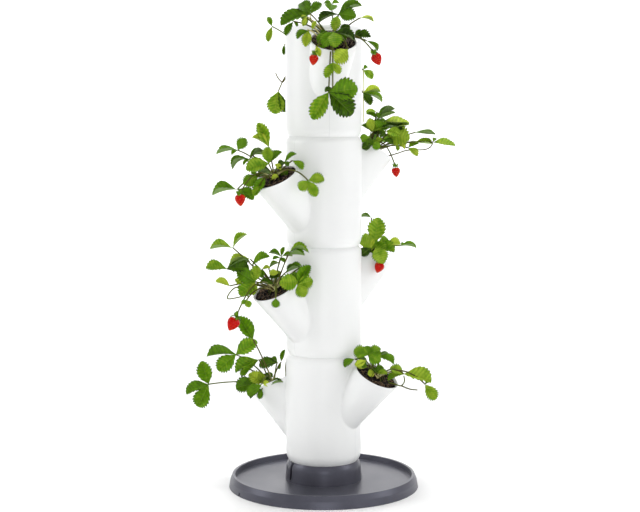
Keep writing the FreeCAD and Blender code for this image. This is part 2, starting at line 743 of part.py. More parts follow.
def stalk(start, end, bow, last=None):
    """A six-sided stalk in straight lengths along the arc through its ends.

    The arc's middle stands bow above the straight line. last is the direction the end face looks.
    """
    arc = Part.Arc(start, (start + end) * 0.5 + FreeCAD.Vector(0, 0, bow), end).toShape()
    points = arc.discretize(6)
    steps = [(far - near).normalize() for near, far in zip(points[:-1], points[1:])]
    first = FreeCAD.Vector(steps[0])
    aside = first.cross(FreeCAD.Vector(0, 1, 0.3)).normalize()
    other = first.cross(aside)
    radius = size("stalk_radius")
    ring = []
    for corner in range(6):
        turn = math.radians(60 * corner)
        ring.append(start + aside * (radius * math.cos(turn)) + other * (radius * math.sin(turn)))
    facets = [ring]
    for number, step in enumerate(steps):
        if number + 1 < len(steps):
            normal = step + steps[number + 1]
        else:
            normal = last or step
        goal = points[number + 1]
        moved = [p + step * ((goal - p).dot(normal) / step.dot(normal)) for p in ring]
        for corner in range(6):
            after = (corner + 1) % 6
            facets.append([ring[corner], ring[after], moved[after], moved[corner]])
        ring = moved
    facets.append(ring)
    return solid_of(facets)


def plant_shape(plant):
    """Crown, stalks and blades joined into one solid, in the plant's own axes."""
    side = POCKETS[plant["pocket"]][0]
    lean = math.radians(size("mouth_tilt"))
    upright = FreeCAD.Rotation(FreeCAD.Vector(0, 0, 1), -plant["facing"]).multVec(
        FreeCAD.Vector(side * math.sin(lean), 0, math.cos(lean)))
    foot = FreeCAD.Vector(0, 0, -size("soil_drop"))
    radius = size("crown_radius")
    crown = Part.makeCone(radius, radius * 0.6, size("crown_height"), foot, upright)
    root = foot + upright * (size("crown_height") * 0.6)
    parts = []
    for end, bow, leaflets in plant["leaves"]:
        joint = FreeCAD.Vector(*end)
        onward = (joint - root).normalize() * size("stalk_radius")
        parts.append(stalk(root, joint + onward, bow))
        for right, back, up, face, share in leaflets:
            parts.append(leaflet(joint, FreeCAD.Vector(right, back, up), face, share))
    for end, bow, reach, length in plant["berries"]:
        parts.append(stalk(root, FreeCAD.Vector(*end), bow, FreeCAD.Vector(*reach).normalize()))
    return crown.multiFuse(parts)


def berry(end, reach, length):
    """A heart-shaped fruit hung on a stalk's end face, turned about its own axis."""
    half = 0.5 * length * size("berry_width")
    flat = size("stalk_radius") + 0.4
    profile = [
        FreeCAD.Vector(flat, 0, 0),
        FreeCAD.Vector(0.72 * half, 0, 0.05 * length),
        FreeCAD.Vector(half, 0, 0.3 * length),
        FreeCAD.Vector(0.8 * half, 0, 0.62 * length),
        FreeCAD.Vector(0.36 * half, 0, 0.93 * length),
        FreeCAD.Vector(0, 0, length),
    ]
    curve = Part.BSplineCurve()
    curve.interpolate(profile)
    start = FreeCAD.Vector(0, 0, 0)
    lines = [Part.makeLine(start, profile[0]), curve.toShape(), Part.makeLine(profile[-1], start)]
    body = Part.Face(Part.Wire(lines)).revolve(start, FreeCAD.Vector(0, 0, 1), 360)
    turn = FreeCAD.Rotation(FreeCAD.Vector(0, 0, 1), FreeCAD.Vector(*reach))
    body.Placement = FreeCAD.Placement(FreeCAD.Vector(*end), turn)
    return body


def set_plant(name, shape, plant):
    """Holds a shape made in a plant's own axes, placed on its tier at the mouth's middle."""
    piece = doc.addObject("Part::Feature", name)
    piece.Label = name
    piece.Shape = shape
    piece.Placement = turning()
    side, height = POCKETS[plant["pocket"]]
    turn = "tier_%d_turn" % plant["tier"]
    bind(
        piece,
        Placement__Base__x="%d * pocket_reach * cos(%s * 1deg)" % (side, turn),
        Placement__Base__y="%d * pocket_reach * sin(%s * 1deg)" % (side, turn),
        Placement__Base__z="seam_height + %d * tier_pitch + %s" % (plant["tier"] - 1, height),
        Placement__Rotation__Angle="%s + %s" % (turn, plant["facing"]),
    )
    return piece


pieces = [tray()]
for tier in (1, 2, 3, 4):
    pieces.append(tier_shell(tier))
    pieces.append(drain_plate(tier))
    pieces.append(tier_soil(tier))
for name, plant in PLANTS.items():
    pieces.append(set_plant(name + "_plant", plant_shape(plant), plant))
    if plant["berries"]:
        fruit = [berry(end, reach, length) for end, bow, reach, length in plant["berries"]]
        pieces.append(set_plant(name + "_berries", Part.Compound(fruit), plant))
doc.recompute()

for item in doc.Objects:
    if "Invalid" in item.State or "Error" in item.State:
        raise RuntimeError("failed object " + item.Name)
for piece in pieces:
    if piece.Shape.isNull() or not piece.Shape.isValid():
        raise RuntimeError("bad shape " + piece.Label)
for piece in pieces:
    piece.Shape.exportStep("parts/%s.step" % piece.Label)
    box = piece.Shape.BoundBox
    print(piece.Label, len(piece.Shape.Solids), round(piece.Shape.Volume / 1000, 1), "cm3",
          [round(v, 1) for v in (box.XMin, box.YMin, box.ZMin, box.XMax, box.YMax, box.ZMax)])
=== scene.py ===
"""Looks of the vertical planter tower: its plastics, its soil and its strawberry plants.

Metres in the part's own frame: +Z up the tower's axis, the viewer at -Y, +X to the viewer's right.
"""

import functools
import math

import bpy
import numpy as np
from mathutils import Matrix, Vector


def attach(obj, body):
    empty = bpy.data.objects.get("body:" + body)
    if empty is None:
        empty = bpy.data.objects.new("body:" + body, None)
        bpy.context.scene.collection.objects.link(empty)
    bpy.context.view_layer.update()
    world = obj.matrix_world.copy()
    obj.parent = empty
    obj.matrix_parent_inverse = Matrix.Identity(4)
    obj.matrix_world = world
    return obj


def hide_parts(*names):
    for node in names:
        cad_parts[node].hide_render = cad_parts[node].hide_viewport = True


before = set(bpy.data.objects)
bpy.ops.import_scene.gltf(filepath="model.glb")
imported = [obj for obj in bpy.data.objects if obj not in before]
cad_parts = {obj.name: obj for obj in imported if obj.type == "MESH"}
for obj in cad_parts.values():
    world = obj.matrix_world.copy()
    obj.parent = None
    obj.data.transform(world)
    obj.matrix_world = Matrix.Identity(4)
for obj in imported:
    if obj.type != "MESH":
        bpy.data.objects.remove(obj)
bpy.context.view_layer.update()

MM = 0.001

# The tower's own sizes, in metres and degrees, as the solids have them.

SEAM_HEIGHT = 57.4 * MM
TIER_PITCH = 229.6 * MM
TIER_TURNS = {1: -33.4, 2: 40.2, 3: 41.1, 4: -81.6}
POCKET_REACH = 132.5 * MM
MOUTH_HEIGHTS = {"high": 195.0 * MM, "low": 149.5 * MM}
POCKET_SIDES = {"high": 1.0, "low": -1.0}
POCKET_TILT = math.radians(39.7)
MOUTH_TILT = math.radians(28.1)
MOUTH_RADIUS = 47.7 * MM
WALL = 2.6 * MM
MOUTH_SOIL_GAP = 0.6 * MM
TOP_SOIL_GAP = 1.2 * MM
SOIL_DROP = 7.0 * MM
TOP_SOIL_HEIGHT = TIER_PITCH - 18.0 * MM
COLUMN_RADIUS = 80.0 * MM
CROWN_HEIGHT = 14.0 * MM

UP = np.array([0.0, 0.0, 1.0])


# Arrays of shapes


def unit(vectors):
    """Each vector divided by its own length."""
    return vectors / np.maximum(np.linalg.norm(vectors, axis=-1, keepdims=True), 1e-12)


def waves(points, size, seed):
    """Smooth roughness between about -1 and 1: the sum of seven sine waves over 3.5.

    Each wave runs in its own direction with a length near size.
    """
    draw = np.random.default_rng(seed)
    heads = unit(draw.normal(size=(7, points.shape[-1])))
    counts = draw.uniform(0.6, 1.7, 7) * 2 * math.pi / size
    starts = draw.uniform(0, 2 * math.pi, 7)
    return np.sin(points @ heads.T * counts + starts).sum(-1) / 3.5


def around(count):
    """Angles evenly round a full turn."""
    return np.linspace(0, 2 * math.pi, count, endpoint=False)


def ring_faces(count, rows, ring):
    """Faces of count closed tubes of rows by ring points each, with a centre point at both ends.

    A tube's points come row by row, then its first centre and its last. Every square joins
    neighbours along the tube and round it, and each end is a fan to its centre.
    """
    each = rows * ring + 2
    offset = (np.arange(count) * each)[:, None, None]
    row = np.arange(rows - 1)[:, None] * ring
    here = np.arange(ring)
    after = (here + 1) % ring
    square = np.stack([row + here, row + after, row + ring + after, row + ring + here], -1)
    squares = (square.reshape(-1, 4) + offset).reshape(-1, 4)
    last = (rows - 1) * ring
    near = np.stack([np.full(ring, each - 2), after, here], -1)
    far = np.stack([np.full(ring, each - 1), last + here, last + after], -1)
    fans = (np.concatenate([near, far]) + offset).reshape(-1, 3)
    return squares, fans


def with_ends(tubes):
    """Values of shape (tubes, rows, ring, ...) as one row a tube, with its end rings' means last."""
    count, rows, ring = tubes.shape[:3]
    flat = tubes.reshape(count, rows * ring, *tubes.shape[3:])
    ends = np.stack([tubes[:, 0].mean(1), tubes[:, -1].mean(1)], 1)
    return np.concatenate([flat, ends], 1)


def shown(name, data):
    """A new object in the scene, made from its data."""
    made = bpy.data.objects.new(name, data)
    bpy.context.scene.collection.objects.link(made)
    return made


class Surface:
    """Closed tubes gathered for one piece, with the named values that each point has."""

    def __init__(self, *names):
        self.points, self.squares, self.fans, self.slots = [], [], [], []
        self.values = {name: [] for name in names}
        self.count = 0

    def put(self, tubes, slot=0, order=1, **values):
        """Adds tubes of points by (tube, row, place round it).

        Each value is spread over the tubes, and one that isn't given is 0. To point the faces
        outwards, order is 1 where rings turn right-handed about the way their rows run, else -1.
        """
        whole = tubes.shape[:3]
        squares, fans = (faces[:, ::order] for faces in ring_faces(*whole))
        self.points.append(with_ends(tubes).reshape(-1, 3))
        self.squares.append(squares + self.count)
        self.fans.append(fans + self.count)
        self.slots.append((slot, len(squares), len(fans)))
        for name, parts in self.values.items():
            parts.append(with_ends(np.broadcast_to(values.get(name, 0.0), whole)).ravel())
        self.count += len(self.points[-1])

    def piece(self, name, body, materials):
        """The mesh object, smooth, riding on its body and given its name."""
        points = np.concatenate(self.points)
        squares = np.concatenate(self.squares)
        fans = np.concatenate(self.fans)
        corners = np.concatenate([squares.ravel(), fans.ravel()])
        totals = np.repeat([4, 3], [len(squares), len(fans)])
        starts = np.cumsum(totals) - totals
        places, of_squares, of_fans = np.array(self.slots).T
        indices = np.concatenate([np.repeat(places, of_squares), np.repeat(places, of_fans)])
        mesh = bpy.data.meshes.new(name)
        mesh.vertices.add(len(points))
        mesh.vertices.foreach_set("co", points.astype(np.float32).ravel())
        mesh.loops.add(len(corners))
        mesh.loops.foreach_set("vertex_index", corners.astype(np.int32))
        mesh.polygons.add(len(totals))
        for label, values in (("loop_start", starts), ("loop_total", totals), ("material_index", indices)):
            mesh.polygons.foreach_set(label, values.astype(np.int32))
        mesh.polygons.foreach_set("use_smooth", np.ones(len(totals), bool))
        for label, parts in self.values.items():
            layer = mesh.attributes.new(label, "FLOAT", "POINT")
            layer.data.foreach_set("value", np.concatenate(parts).astype(np.float32))
        for material in materials:
            mesh.materials.append(material)
        mesh.update(calc_edges=True)
        mesh.validate()
        made = shown(name, mesh)
        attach(made, body)
        return made


# Plant parts

TOOTH_COUNT = 8
TOOTH_DEPTH = 5.2 * MM
TOOTH_STEPS = np.array([0.0, 0.25, 0.5, 0.7, 0.86])
TOOTH_TIP = 0.7
BLADE_COLUMNS = 13
BLADE_THICKNESS = 0.4 * MM
VEIN_SLIDE = 0.17
WEDGE_END = 0.3
FLESH_RISE = 0.015
EDGE_WAVE = 0.022
FLAT_WIDTH = 0.74
CROWN_SPREAD = 4.0 * MM
STALK_DEPTH = 5 * MM
STALK_RADII = (2.0 * MM, 1.5 * MM)
STRAND_RADII = (1.5 * MM, 1.25 * MM)
SHEATH_RADII = (3.2 * MM, 1.9 * MM)
SHEATH_LENGTH = 12 * MM
CURL_RADII = (1.0 * MM, 0.7 * MM)
CURL_COUNT = 7
CURL_REACH = (15, 30)
CURL_BOW = (7, 15)
SEPAL_COUNT = 10
SEPAL_WIDTH = 0.6
SEPAL_TONE = 0.4
BERRY_SIDE = np.array([0.3, 1.0, 0.2])
PIP_ROWS = 9
PIPS_ROUND = 14
PIP_RADIUS = 0.5 * MM
PIP_DEPTH = 0.3 * MM
DENT_DEPTH = 0.45 * MM
BERRY_WIDTH = 0.43
SEPAL_LENGTH = 0.45

# A soil patch has this many crumbs for each square metre of its two radii multiplied.

CRUMB_DENSITY = 520 / (45 * MM) ** 2
CRUMB_RADIUS = 2.3 * MM
FIBRE_RADIUS = 0.3 * MM


def blade_rows():
    """Places along a blade: five to a tooth, so that each tooth has its own tip and notch."""
    inner = (np.arange(TOOTH_COUNT)[:, None] + TOOTH_STEPS).ravel() / TOOTH_COUNT
    return np.append(inner, 1.0)


def blades(surface, base, reach, face, tone, width, arching, seed):
    """Blades of leaf, each a thin closed sheet with toothed edges.

    A blade runs from base along reach. Its half width is the sine of pi times the place along it
    to the power 1.35, to the power 0.62, drawn in to a wedge over the first 0.3 of its length.
    Side veins leave the midrib forwards: a point at share v of the way to the edge has slid ahead
    by v times a sine. Each vein ends in a tooth, a slow rise and a steep fall along the edge,
    rounded by a quarter sine. Across, the blade rises from the midrib as a keel, which is higher
    on a narrow blade, its flesh stands up between the veins, and its edge waves. Along, it arches
    and droops to its tip. The underside is the same surface, a thickness lower.
    """
    count = len(base)
    rows = blade_rows()[:, None]
    upper = np.linspace(-1, 1, BLADE_COLUMNS)
    lower = upper[-2:0:-1]
    across_share = np.concatenate([upper, lower])
    under = np.repeat([0.0, 1.0], [len(upper), len(lower)])
    part = np.abs(across_share)
    hand = np.sign(across_share)
    slide = rows + VEIN_SLIDE * np.sin(math.pi * rows)
    wedge = np.minimum(slide / WEDGE_END, 1) ** 0.35
    half = 0.5 * np.sin(math.pi * np.clip(slide, 0, 1) ** 1.35) ** 0.62 * wedge + 0.01
    phase = (rows * TOOTH_COUNT) % 1.0
    ramp = np.where(phase < TOOTH_TIP, phase / TOOTH_TIP, (1 - phase) / (1 - TOOTH_TIP))
    tooth = np.sin(0.5 * math.pi * ramp)
    grown = np.clip(np.sin(math.pi * rows) * 1.6, 0, 1)
    length = np.linalg.norm(reach, axis=1)[:, None, None]
    push = np.clip(TOOTH_DEPTH / length, 0.09, 0.17) * (tooth - 0.45) * grown * part**5
    forward = rows + part * (slide - rows) + 0.45 * push
    sideways = hand * (part * half + push)
    flesh = 0.5 - 0.5 * np.cos(2 * math.pi * (rows * TOOTH_COUNT - TOOTH_TIP))
    puff = FLESH_RISE * (flesh - 0.5) * np.minimum(4 * part * (1.15 - part), 1) * grown

    draw = np.random.default_rng(seed)
    fold = (draw.uniform(0.12, 0.24, count) + 0.35 * np.maximum(FLAT_WIDTH - width, 0))[:, None, None]
    droop = draw.uniform(0.02, 0.11, count)[:, None, None]
    twist = draw.uniform(-0.06, 0.06, count)[:, None, None]
    start = draw.uniform(0, 2 * math.pi, count)[:, None, None]
    edge_wave = EDGE_WAVE * part**2 * np.sin(start + 9 * rows + 2 * hand)
    keel = fold * part * half * (2.6 - 0.6 * part)
    arch = (0.05 + arching[:, None, None]) * np.sin(math.pi * rows) - droop * rows**2
    raised = length * (keel + arch + twist * sideways * rows + edge_wave + puff)

    along = unit(reach)
    turn = np.radians(face)
    seen = np.stack([np.zeros(count), -np.sin(turn), np.cos(turn)], 1)
    out = unit(seen - along * (seen * along).sum(1, keepdims=True))
    across = np.cross(out, along)
    thin = BLADE_THICKNESS * under * np.minimum((1 - part) * 6, 1)
    spread = sideways * length * width[:, None, None]
    points = (
        base[:, None, None, :]
        + along[:, None, None, :] * (forward * length)[..., None]
        + across[:, None, None, :] * spread[..., None]
        + out[:, None, None, :] * (raised - thin)[..., None]
    )
    span = half * length * width[:, None, None]
    shade = tone[:, None, None]
    surface.put(points, order=-1, along=rows, across=across_share, under=under, tone=shade, span=span)


def spokes(angles, aside, other):
    """Unit vectors at angles: the cosine of each along aside plus its sine along other."""
    return np.cos(angles)[..., None] * aside + np.sin(angles)[..., None] * other


def tube_sections(aside, other, ring):
    """Circles of unit vectors, one across each point of a line."""
    return spokes(around(ring), aside[..., None, :], other[..., None, :])


def parabolas(start, end, bow, steps):
    """Parabolas between points: their shares, their points, their slopes and the level way across.

    At share t a point is start plus t times the way to end, plus 4 t (1 - t) times bow straight
    up, and the slope is the way plus 4 (1 - 2 t) times bow straight up.
    """
    share = np.linspace(0, 1, steps)[None, :, None]
    way = (end - start)[:, None, :]
    rise = bow[:, None, None] * UP
    line = start[:, None, :] + way * share + 4 * share * (1 - share) * rise
    aside = unit(np.cross(way + np.array([1e-5, 2e-5, 0]), UP))
    return share, line, way + 4 * (1 - 2 * share) * rise, aside


def stalks(surface, start, end, bow, radii, tone, steps=22):
    """Round stalks, each a tapering tube along a parabola, with its sections across the line."""
    share, line, slope, aside = parabolas(start, end, bow, steps)
    heading = unit(slope)
    aside = np.broadcast_to(aside, heading.shape)
    taper = radii[0] + (radii[1] - radii[0]) * np.minimum(share * 1.6, 1) ** 0.6
    section = tube_sections(aside, np.cross(heading, aside), 8)
    points = line[:, :, None, :] + taper[..., None] * section
    surface.put(points, 1, along=share, tone=tone[:, None, None])


def strand(surface, places, tone, age):
    """A curved stalk through given points: a closed round tube that narrows evenly.

    Between two points its middle line is the cubic whose slope at either point is half the way
    between that point's neighbours (a Catmull-Rom curve). Its age is 0 for pale and 1 for brown.
    """
    ends = np.concatenate([2 * places[:1] - places[1:2], places, 2 * places[-1:] - places[-2:-1]])
    before, here, after, beyond = (ends[first:len(ends) - 3 + first, None] for first in range(4))
    part = np.linspace(0, 1, 8, endpoint=False)[None, :, None]
    line = here + 0.5 * (
        (after - before) * part
        + (2 * before - 5 * here + 4 * after - beyond) * part**2
        + (3 * here - before - 3 * after + beyond) * part**3
    )
    line = np.concatenate([line.reshape(-1, 3), places[-1:]])
    heading = unit(np.gradient(line, axis=0))
    aside = unit(np.cross(heading, np.array([0.0, 1.0, 0.0])))
    radius = STRAND_RADII[0] + (STRAND_RADII[1] - STRAND_RADII[0]) * np.linspace(0, 1, len(line))
    section = tube_sections(aside, np.cross(heading, aside), 8)
    points = line[:, None] + radius[:, None, None] * section
    surface.put(points[None], 1, along=age, tone=tone)


def lumps(surface, middles, radii, seed, slot=0, shade=np.zeros(1)):
    """Small rough balls: rings of points round a ball, at sine and cosine of two angles.

    Each ball is stretched along its three axes by random shares, each of its points is moved in or
    out by a random share, and it is turned about the upright by a random angle.
    """
    draw = np.random.default_rng(seed)
    count = len(middles)
    rows, ring = 4, 6
    polar = np.linspace(0.55, math.pi - 0.55, rows)[:, None]
    turn = around(ring)
    wide = np.sin(polar)
    ball = np.stack([wide * np.cos(turn), wide * np.sin(turn), np.cos(polar) + 0 * turn], -1)
    stretch = draw.uniform(0.6, 1.25, (count, 1, 1, 3))
    dent = draw.uniform(0.75, 1.2, (count, rows, ring, 1))
    spin = draw.uniform(0, 2 * math.pi, count)[:, None, None]
    x, y, z = np.moveaxis(ball * stretch * dent, -1, 0)
    shape = np.stack([x * np.cos(spin) - y * np.sin(spin), x * np.sin(spin) + y * np.cos(spin), z], -1)
    points = middles[:, None, None, :] + shape * radii[:, None, None, None]
    surface.put(points, slot, -1, shade=shade[:, None, None])


# Placing pieces on a tier


def outwards(tier, pocket, out, up):
    """The vector that goes out to a pocket's side and up, turned about the axis with its tier."""
    angle = math.radians(TIER_TURNS[tier])
    reach = POCKET_SIDES[pocket] * out
    return np.array([reach * math.cos(angle), reach * math.sin(angle), up])


def mouth(tier, pocket):
    """The middle of a pocket's mouth."""
    foot = UP * (SEAM_HEIGHT + (tier - 1) * TIER_PITCH)
    return outwards(tier, pocket, POCKET_REACH, MOUTH_HEIGHTS[pocket]) + foot


def mouth_normal(tier, pocket):
    """The way a pocket's mouth looks: up, leaning outwards."""
    return outwards(tier, pocket, math.sin(MOUTH_TILT), math.cos(MOUTH_TILT))


# The plants

# Each plant is its tier, its pocket, its leaves, its berries and its bent stalks, in millimetres
# from the middle of the pocket's mouth, as (right, back, up). A leaf is its stalk's end and the
# height of the stalk's bow, and then its blades: each the way from the stalk's end to its tip, how
# far its upper side turns to the viewer, 0 for flat and 90 for upright, its tone, 0 for dark green
# and 1 for yellow green, its width over its length, and how much more than others it arches. The
# tone is partly the blade's own green and partly painted shade, darker for blades that lie in the
# shadow of others. A berry is its stalk's end and bow, the way it hangs and its length. A bent
# stalk is how brown it is, from 0 to 1, and its points.

PLANTS = {}
PLANTS["tier_1_right"] = (1, "high", [
    [(-18, 0, 42, 4), (-30, 2, 10, 75, .5, .82), (26, 4, 14, 42, .52, .7), (25, -12, -11, 75, .48, .92),
     (-4, 4, 19, 60, .42, .95)],
    [(-46, 0, 34, 6), (-22, 0, -17, 32, .35, .7), (25, -4, -3, 6, .4, .5)],
    [(-20, -6, 18, 2), (-26, -3, 7, 52, .9, .72)],
    [(4, 4, 38, 6), (32, 0, -15, 26, .4, .7), (18, 3, 8, 6, .5, .5)],
    [(-4, -6, 8, 2), (18, 0, 9, 60, .3, .8), (-15, -8, -4, 80, .95, .85), (25, -5, -5, 25, .55, .6)],
    [(56, -6, 3, 14), (-28, 4, 14, 52, .62, .7), (-34, -6, -10, 25, .6, .6), (58, 0, -15, 44, .7, .58)],
    [(100, -8, -18, 22), (22, -4, -32, 78, .64, .62), (12, 10, 8, 40, .55, .6)],
    [(7, 2, 40, 3), (17, 0, 6, 8, .2, .34), (-4, 4, 10, 40, .6, .6)],
    [(-23, -18, 33, 1), (-21, -4, -10, 66, 1.0, .6), (-8, -4, -14, 70, .3, .7)],
    [(0, -12, 6, 1), (21, -2, 0, 45, .6, .6), (-10, 4, 10, 60, .15, .6)],
], [], [
    (1, [(24, -10, -14), (38, -14, -17), (50, -14, -20), (57, -12, -11), (56, -8, 0)]),
    (1, [(50, -14, -20), (68, -14, -27), (84, -14, -29)]),
])
PLANTS["tier_1_left"] = (1, "low", [
    [(-140, 0, -2, 6), (-15, 0, 51, 78, .45, .6), (-49.5, 0, -21, 38, .35, .56),
     (-24, 0, -51, 78, .45, .62)],
    [(-80, -4, 64, 10), (-64, 2, -3, 20, .3, .62), (-40, -6, -33, 78, .45, .66), (46, 0, 30, 62, .5, .6)],
    [(-40, -55, 106, 4), (-31, -8, 51, 65, .4, .5)],
    [(-30, -8, 54, 6), (-52, -4, -26, 38, .5, .5), (-32, -8, -34, 45, .5, .36)],
    [(10, 0, 47, 8), (-40, 0, -9, 48, .1, .72), (-14, 6, 9, 25, .2, .6)],
    [(18, 8, 46, 6), (8, 2, 27, 45, .4, .34), (-5, 2, -17, 50, .4, .4)],
    [(-18, -6, 2, 2), (-34, -4, 20, 66, .85, .7), (-10, -6, 24, 75, .7, .55), (16, 0, 14, 35, .2, .6)],
    [(-34, -10, 2, 8), (-47, 0, -9, 62, .25, .72)],
    [(-22, -52, 8, 18), (-30, -4, -24, 55, .35, .6)],
    [(-56, -6, 35, 3), (-13, -2, -17, 60, .5, .6), (-20, 2, -7, 30, .45, .4)],
    [(-22, -44, -4, 3), (-26, -4, -19, 42, .08, .5), (-6, -4, -21, 70, .3, .55)],
    [(-5, -44, 0, 1), (-15, 4, 12, 60, 1.1, .6), (28, 0, 13, 18, .08, .36)],
    [(-19, -6, 22, 2), (20, -2, -6, 40, .2, .5)],
], [], [
    (1, [(10, 0, 4), (27, 6, 10), (28, 8, 36), (31, 8, 52), (38, 10, 66)]),
])
PLANTS["tier_2_right"] = (2, "high", [
    [(8, -4, 31, 2), (10, 2, 56, 75, .6, .66), (-31, -30, 4, 70, .62, .9), (20, -36, -20, 78, .5, .74),
     (46, 4, -18, 60, .5, .5)],
    # This leaf's first blade is given a dark tone, 0.1, as painted shade: it lies in the shadow below the
    # leaf to its left.
    [(-6, 4, 20, 2), (-16, 2, -12, 60, .1, .7), (14, 16, 26, 50, .3, .7)],
    [(3, 10, 86, 2), (-24, 2, 3, 14, .35, .6)],
    [(36, 2, 32, 6), (30, 0, -3, 42, .9, .74)],
    [(66, 2, 25, 10), (35, 0, -1, 10, .45, .5), (12, 12, 4, 20, .5, .6)],
    [(20, 34, 24, 8), (26, 18, 8, 40, .5, .74), (-4, 34, 4, 40, .5, .74), (-26, 22, 10, 40, .4, .74)],
    [(0, -46, 25, 3), (-21, -4, -15, 74, .02, .7), (6, 2, 19, 70, .9, .4)],
    [(9, -48, 26, 3), (17, -20, -31, 56, .62, .84)],
], [((22, -58, -5, 26), (-10, -4, -22), 24)], [])
PLANTS["tier_2_left"] = (2, "low", [
    [(-86, 4, 83, 4), (-47, 0, -2, 14, .6, .62), (29, 0, 29, 24, .65, .42)],
    [(-98, -4, 40, 8), (-44, 0, 2, 40, .55, .64), (46, 0, 3, 50, .15, .72), (46, 12, 18, 6, .3, .6)],
    [(-40, -10, 14, 4), (-36, -6, 22, 72, .36, .72), (4, 2, 34, 70, .64, .62),
     (-32, -10, -26, 78, .52, .7), (-4, -10, -26, 82, .72, .55)],
    [(-46, 0, 48, 4), (35, 0, 20, 26, .45, .7)],
    [(14, 8, 64, 4), (-26, 2, 9, 24, .35, .5), (6, 4, 20, 45, .5, .42), (23, 0, 2, 22, .5, .5)],
    [(12, 4, 62, 2), (10, -10, -8, 60, .3, .55), (-16, -8, -2, 40, .4, .5)],
    [(28, -6, 69, 4), (42, -6, 8, 16, .55, .5, .2), (34, -8, 1, 6, .4, .45)],
    [(25, 2, 34, 4), (30, 0, 14, 14, .35, .6)],
    [(48, -32, 12, 10), (26, 2, 38, 62, .4, .5), (31, -5, 8, 85, .6, .82), (15, -8, -25, 80, .6, .84)],
    [(50, -34, 17, 8), (-38, -16, -1, 78, .6, .78), (-12, 8, 18, 50, .4, .6)],
    [(12, -4, 22, 2), (-24, 0, 1, 30, .15, .7), (-8, 4, 14, 50, .6, .7)],
    [(-12, 4, 40, 2), (20, 2, 13, 8, .5, .5)],
    [(0, -8, 8, 1), (-30, -5, 6, 28, .15, .6)],
    [(-92, -6, 5, 8), (-29, 0, 12, 32, .95, .64)],
    [(-56, -34, -20, 14), (6, -6, -15, 72, .6, .8), (-10, -4, -8, 60, .5, .7)],
    [(4, -55, -14, 20), (0, -3, -19, 88, .35, .86)],
    [(-50, 0, 60, 3), (-43, 0, -8, 10, .8, .44)],
    [(-65, -8, 7, 3), (-16, -2, 13, 62, 1.05, .6)],
    [(-26, -6, 40, 2), (17, -2, 2, 36, .85, .7), (0, -6, -18, 60, .3, .6)],
    [(9, -6, 32, 2), (-20, -4, 0, 60, .95, .66), (-16, -4, -12, 52, .02, .6)],
    [(55, -24, 46, 4), (-29, -2, -10, 20, .15, .36)],
], [((-78, -38, -56, 40), (-16, -4, -30), 30)], [
    (1, [(-60, -10, 6), (-84, -10, 0), (-97, -10, -20), (-76, -14, -18), (-52, -20, -10)]),
])
PLANTS["tier_3_right"] = (3, "high", [
    [(16, 0, 70, 2), (38, 0, 15, 4, .2, .78, -.07), (-24, 4, 12, 32, .4, .6), (38, 6, 22, 5, .2, .45)],
    [(24, -2, 62, 2), (61, 0, 0, 11, .8, .78, -.09), (10, 16, 6, 40, .4, .7)],
    [(2, -6, 42, 2), (-2, 0, 30, 72, .8, .62), (30, -4, 14, 40, .65, .6)],
    [(26, 0, 50, 4), (48, 0, -4, 18, .1, .55), (-16, -4, 18, 50, .15, .8)],
    [(10, -4, 50, 2), (-21, 0, 8, 40, .6, .74), (30, -10, 2, 60, .5, .74)],
    [(38, 0, 36, 4), (46, -18, -6, 76, .68, .88), (22, -8, -20, 60, .7, .66), (-32, 0, 2, 28, .1, .6)],
    [(60, 4, 30, 6), (16, -6, -20, 45, .7, .6), (-18, -8, -14, 50, .25, .6)],
    [(0, -12, 26, 2), (-22, -5, 4, 78, .5, .74), (-14, -6, -17, 72, .15, .74), (18, -8, -20, 78, .6, .74)],
    [(4, 0, 38, 1), (28, 0, 2, 28, .1, .7)],
    [(98, 6, 41, 6), (44, 0, -3, 4, .35, .76, -.07)],
    [(82, -4, 8, 10), (21, -4, -17, 50, .75, .62), (24, 12, 10, 30, .5, .6)],
    [(98, 0, 20, 6), (38, 0, -2, 18, .6, .76, -.07)],
    [(136, 2, 20, 10), (48.5, 0, -6, 20, .65, .78, -.08), (8, 10, 8, 30, .5, .6)],
    [(26, 40, 20, 8), (28, 22, 4, 40, .5, .74), (-6, 36, 2, 40, .5, .74), (-30, 18, 8, 40, .4, .74)],
    [(15, 0, 85, 2), (-24, -2, 0, 24, .6, .7), (6, -4, -13, 66, .3, .7)],
    [(6, -10, 44, 2), (-9, -2, 26, 72, .85, .6), (-24, 0, 13, 52, .2, .5)],
    [(23, -12, 49, 2), (28, -2, 9, 28, .05, .5), (-11, -2, 17, 62, .45, .7)],
    [(51, -12, 51, 2), (23, -2, 0, 50, .02, .75), (32, 2, 8, 6, .75, .76, -.06)],
    [(34, -18, 45, 2), (29, -16, -10, 62, .6, .66), (-13, -4, -13, 60, .1, .7)],
    [(28, -16, 27, 2), (21, -2, -9, 50, .12, .6), (-17, -2, -4, 60, .7, .6)],
    [(-1, -44, 32, 1), (-21, -4, -6, 80, .45, .8), (-2, -6, -21, 70, .15, .7)],
    [(1, -48, 18, 1), (-19, -4, -10, 76, .05, .8), (19, -2, -8, 80, .5, .85)],
    [(56, -16, 19, 4), (19, -2, -13, 40, .9, .5), (4, 0, -17, 60, .6, .5)],
], [((56, 8, -34, 36), (2, -1, -22), 22)], [
    (1, [(2, 0, 2), (24, -4, -4), (38, -6, -9), (58, -6, -4), (82, -4, 3), (116, 0, 4), (130, 2, 9),
         (136, 2, 18)]),
])
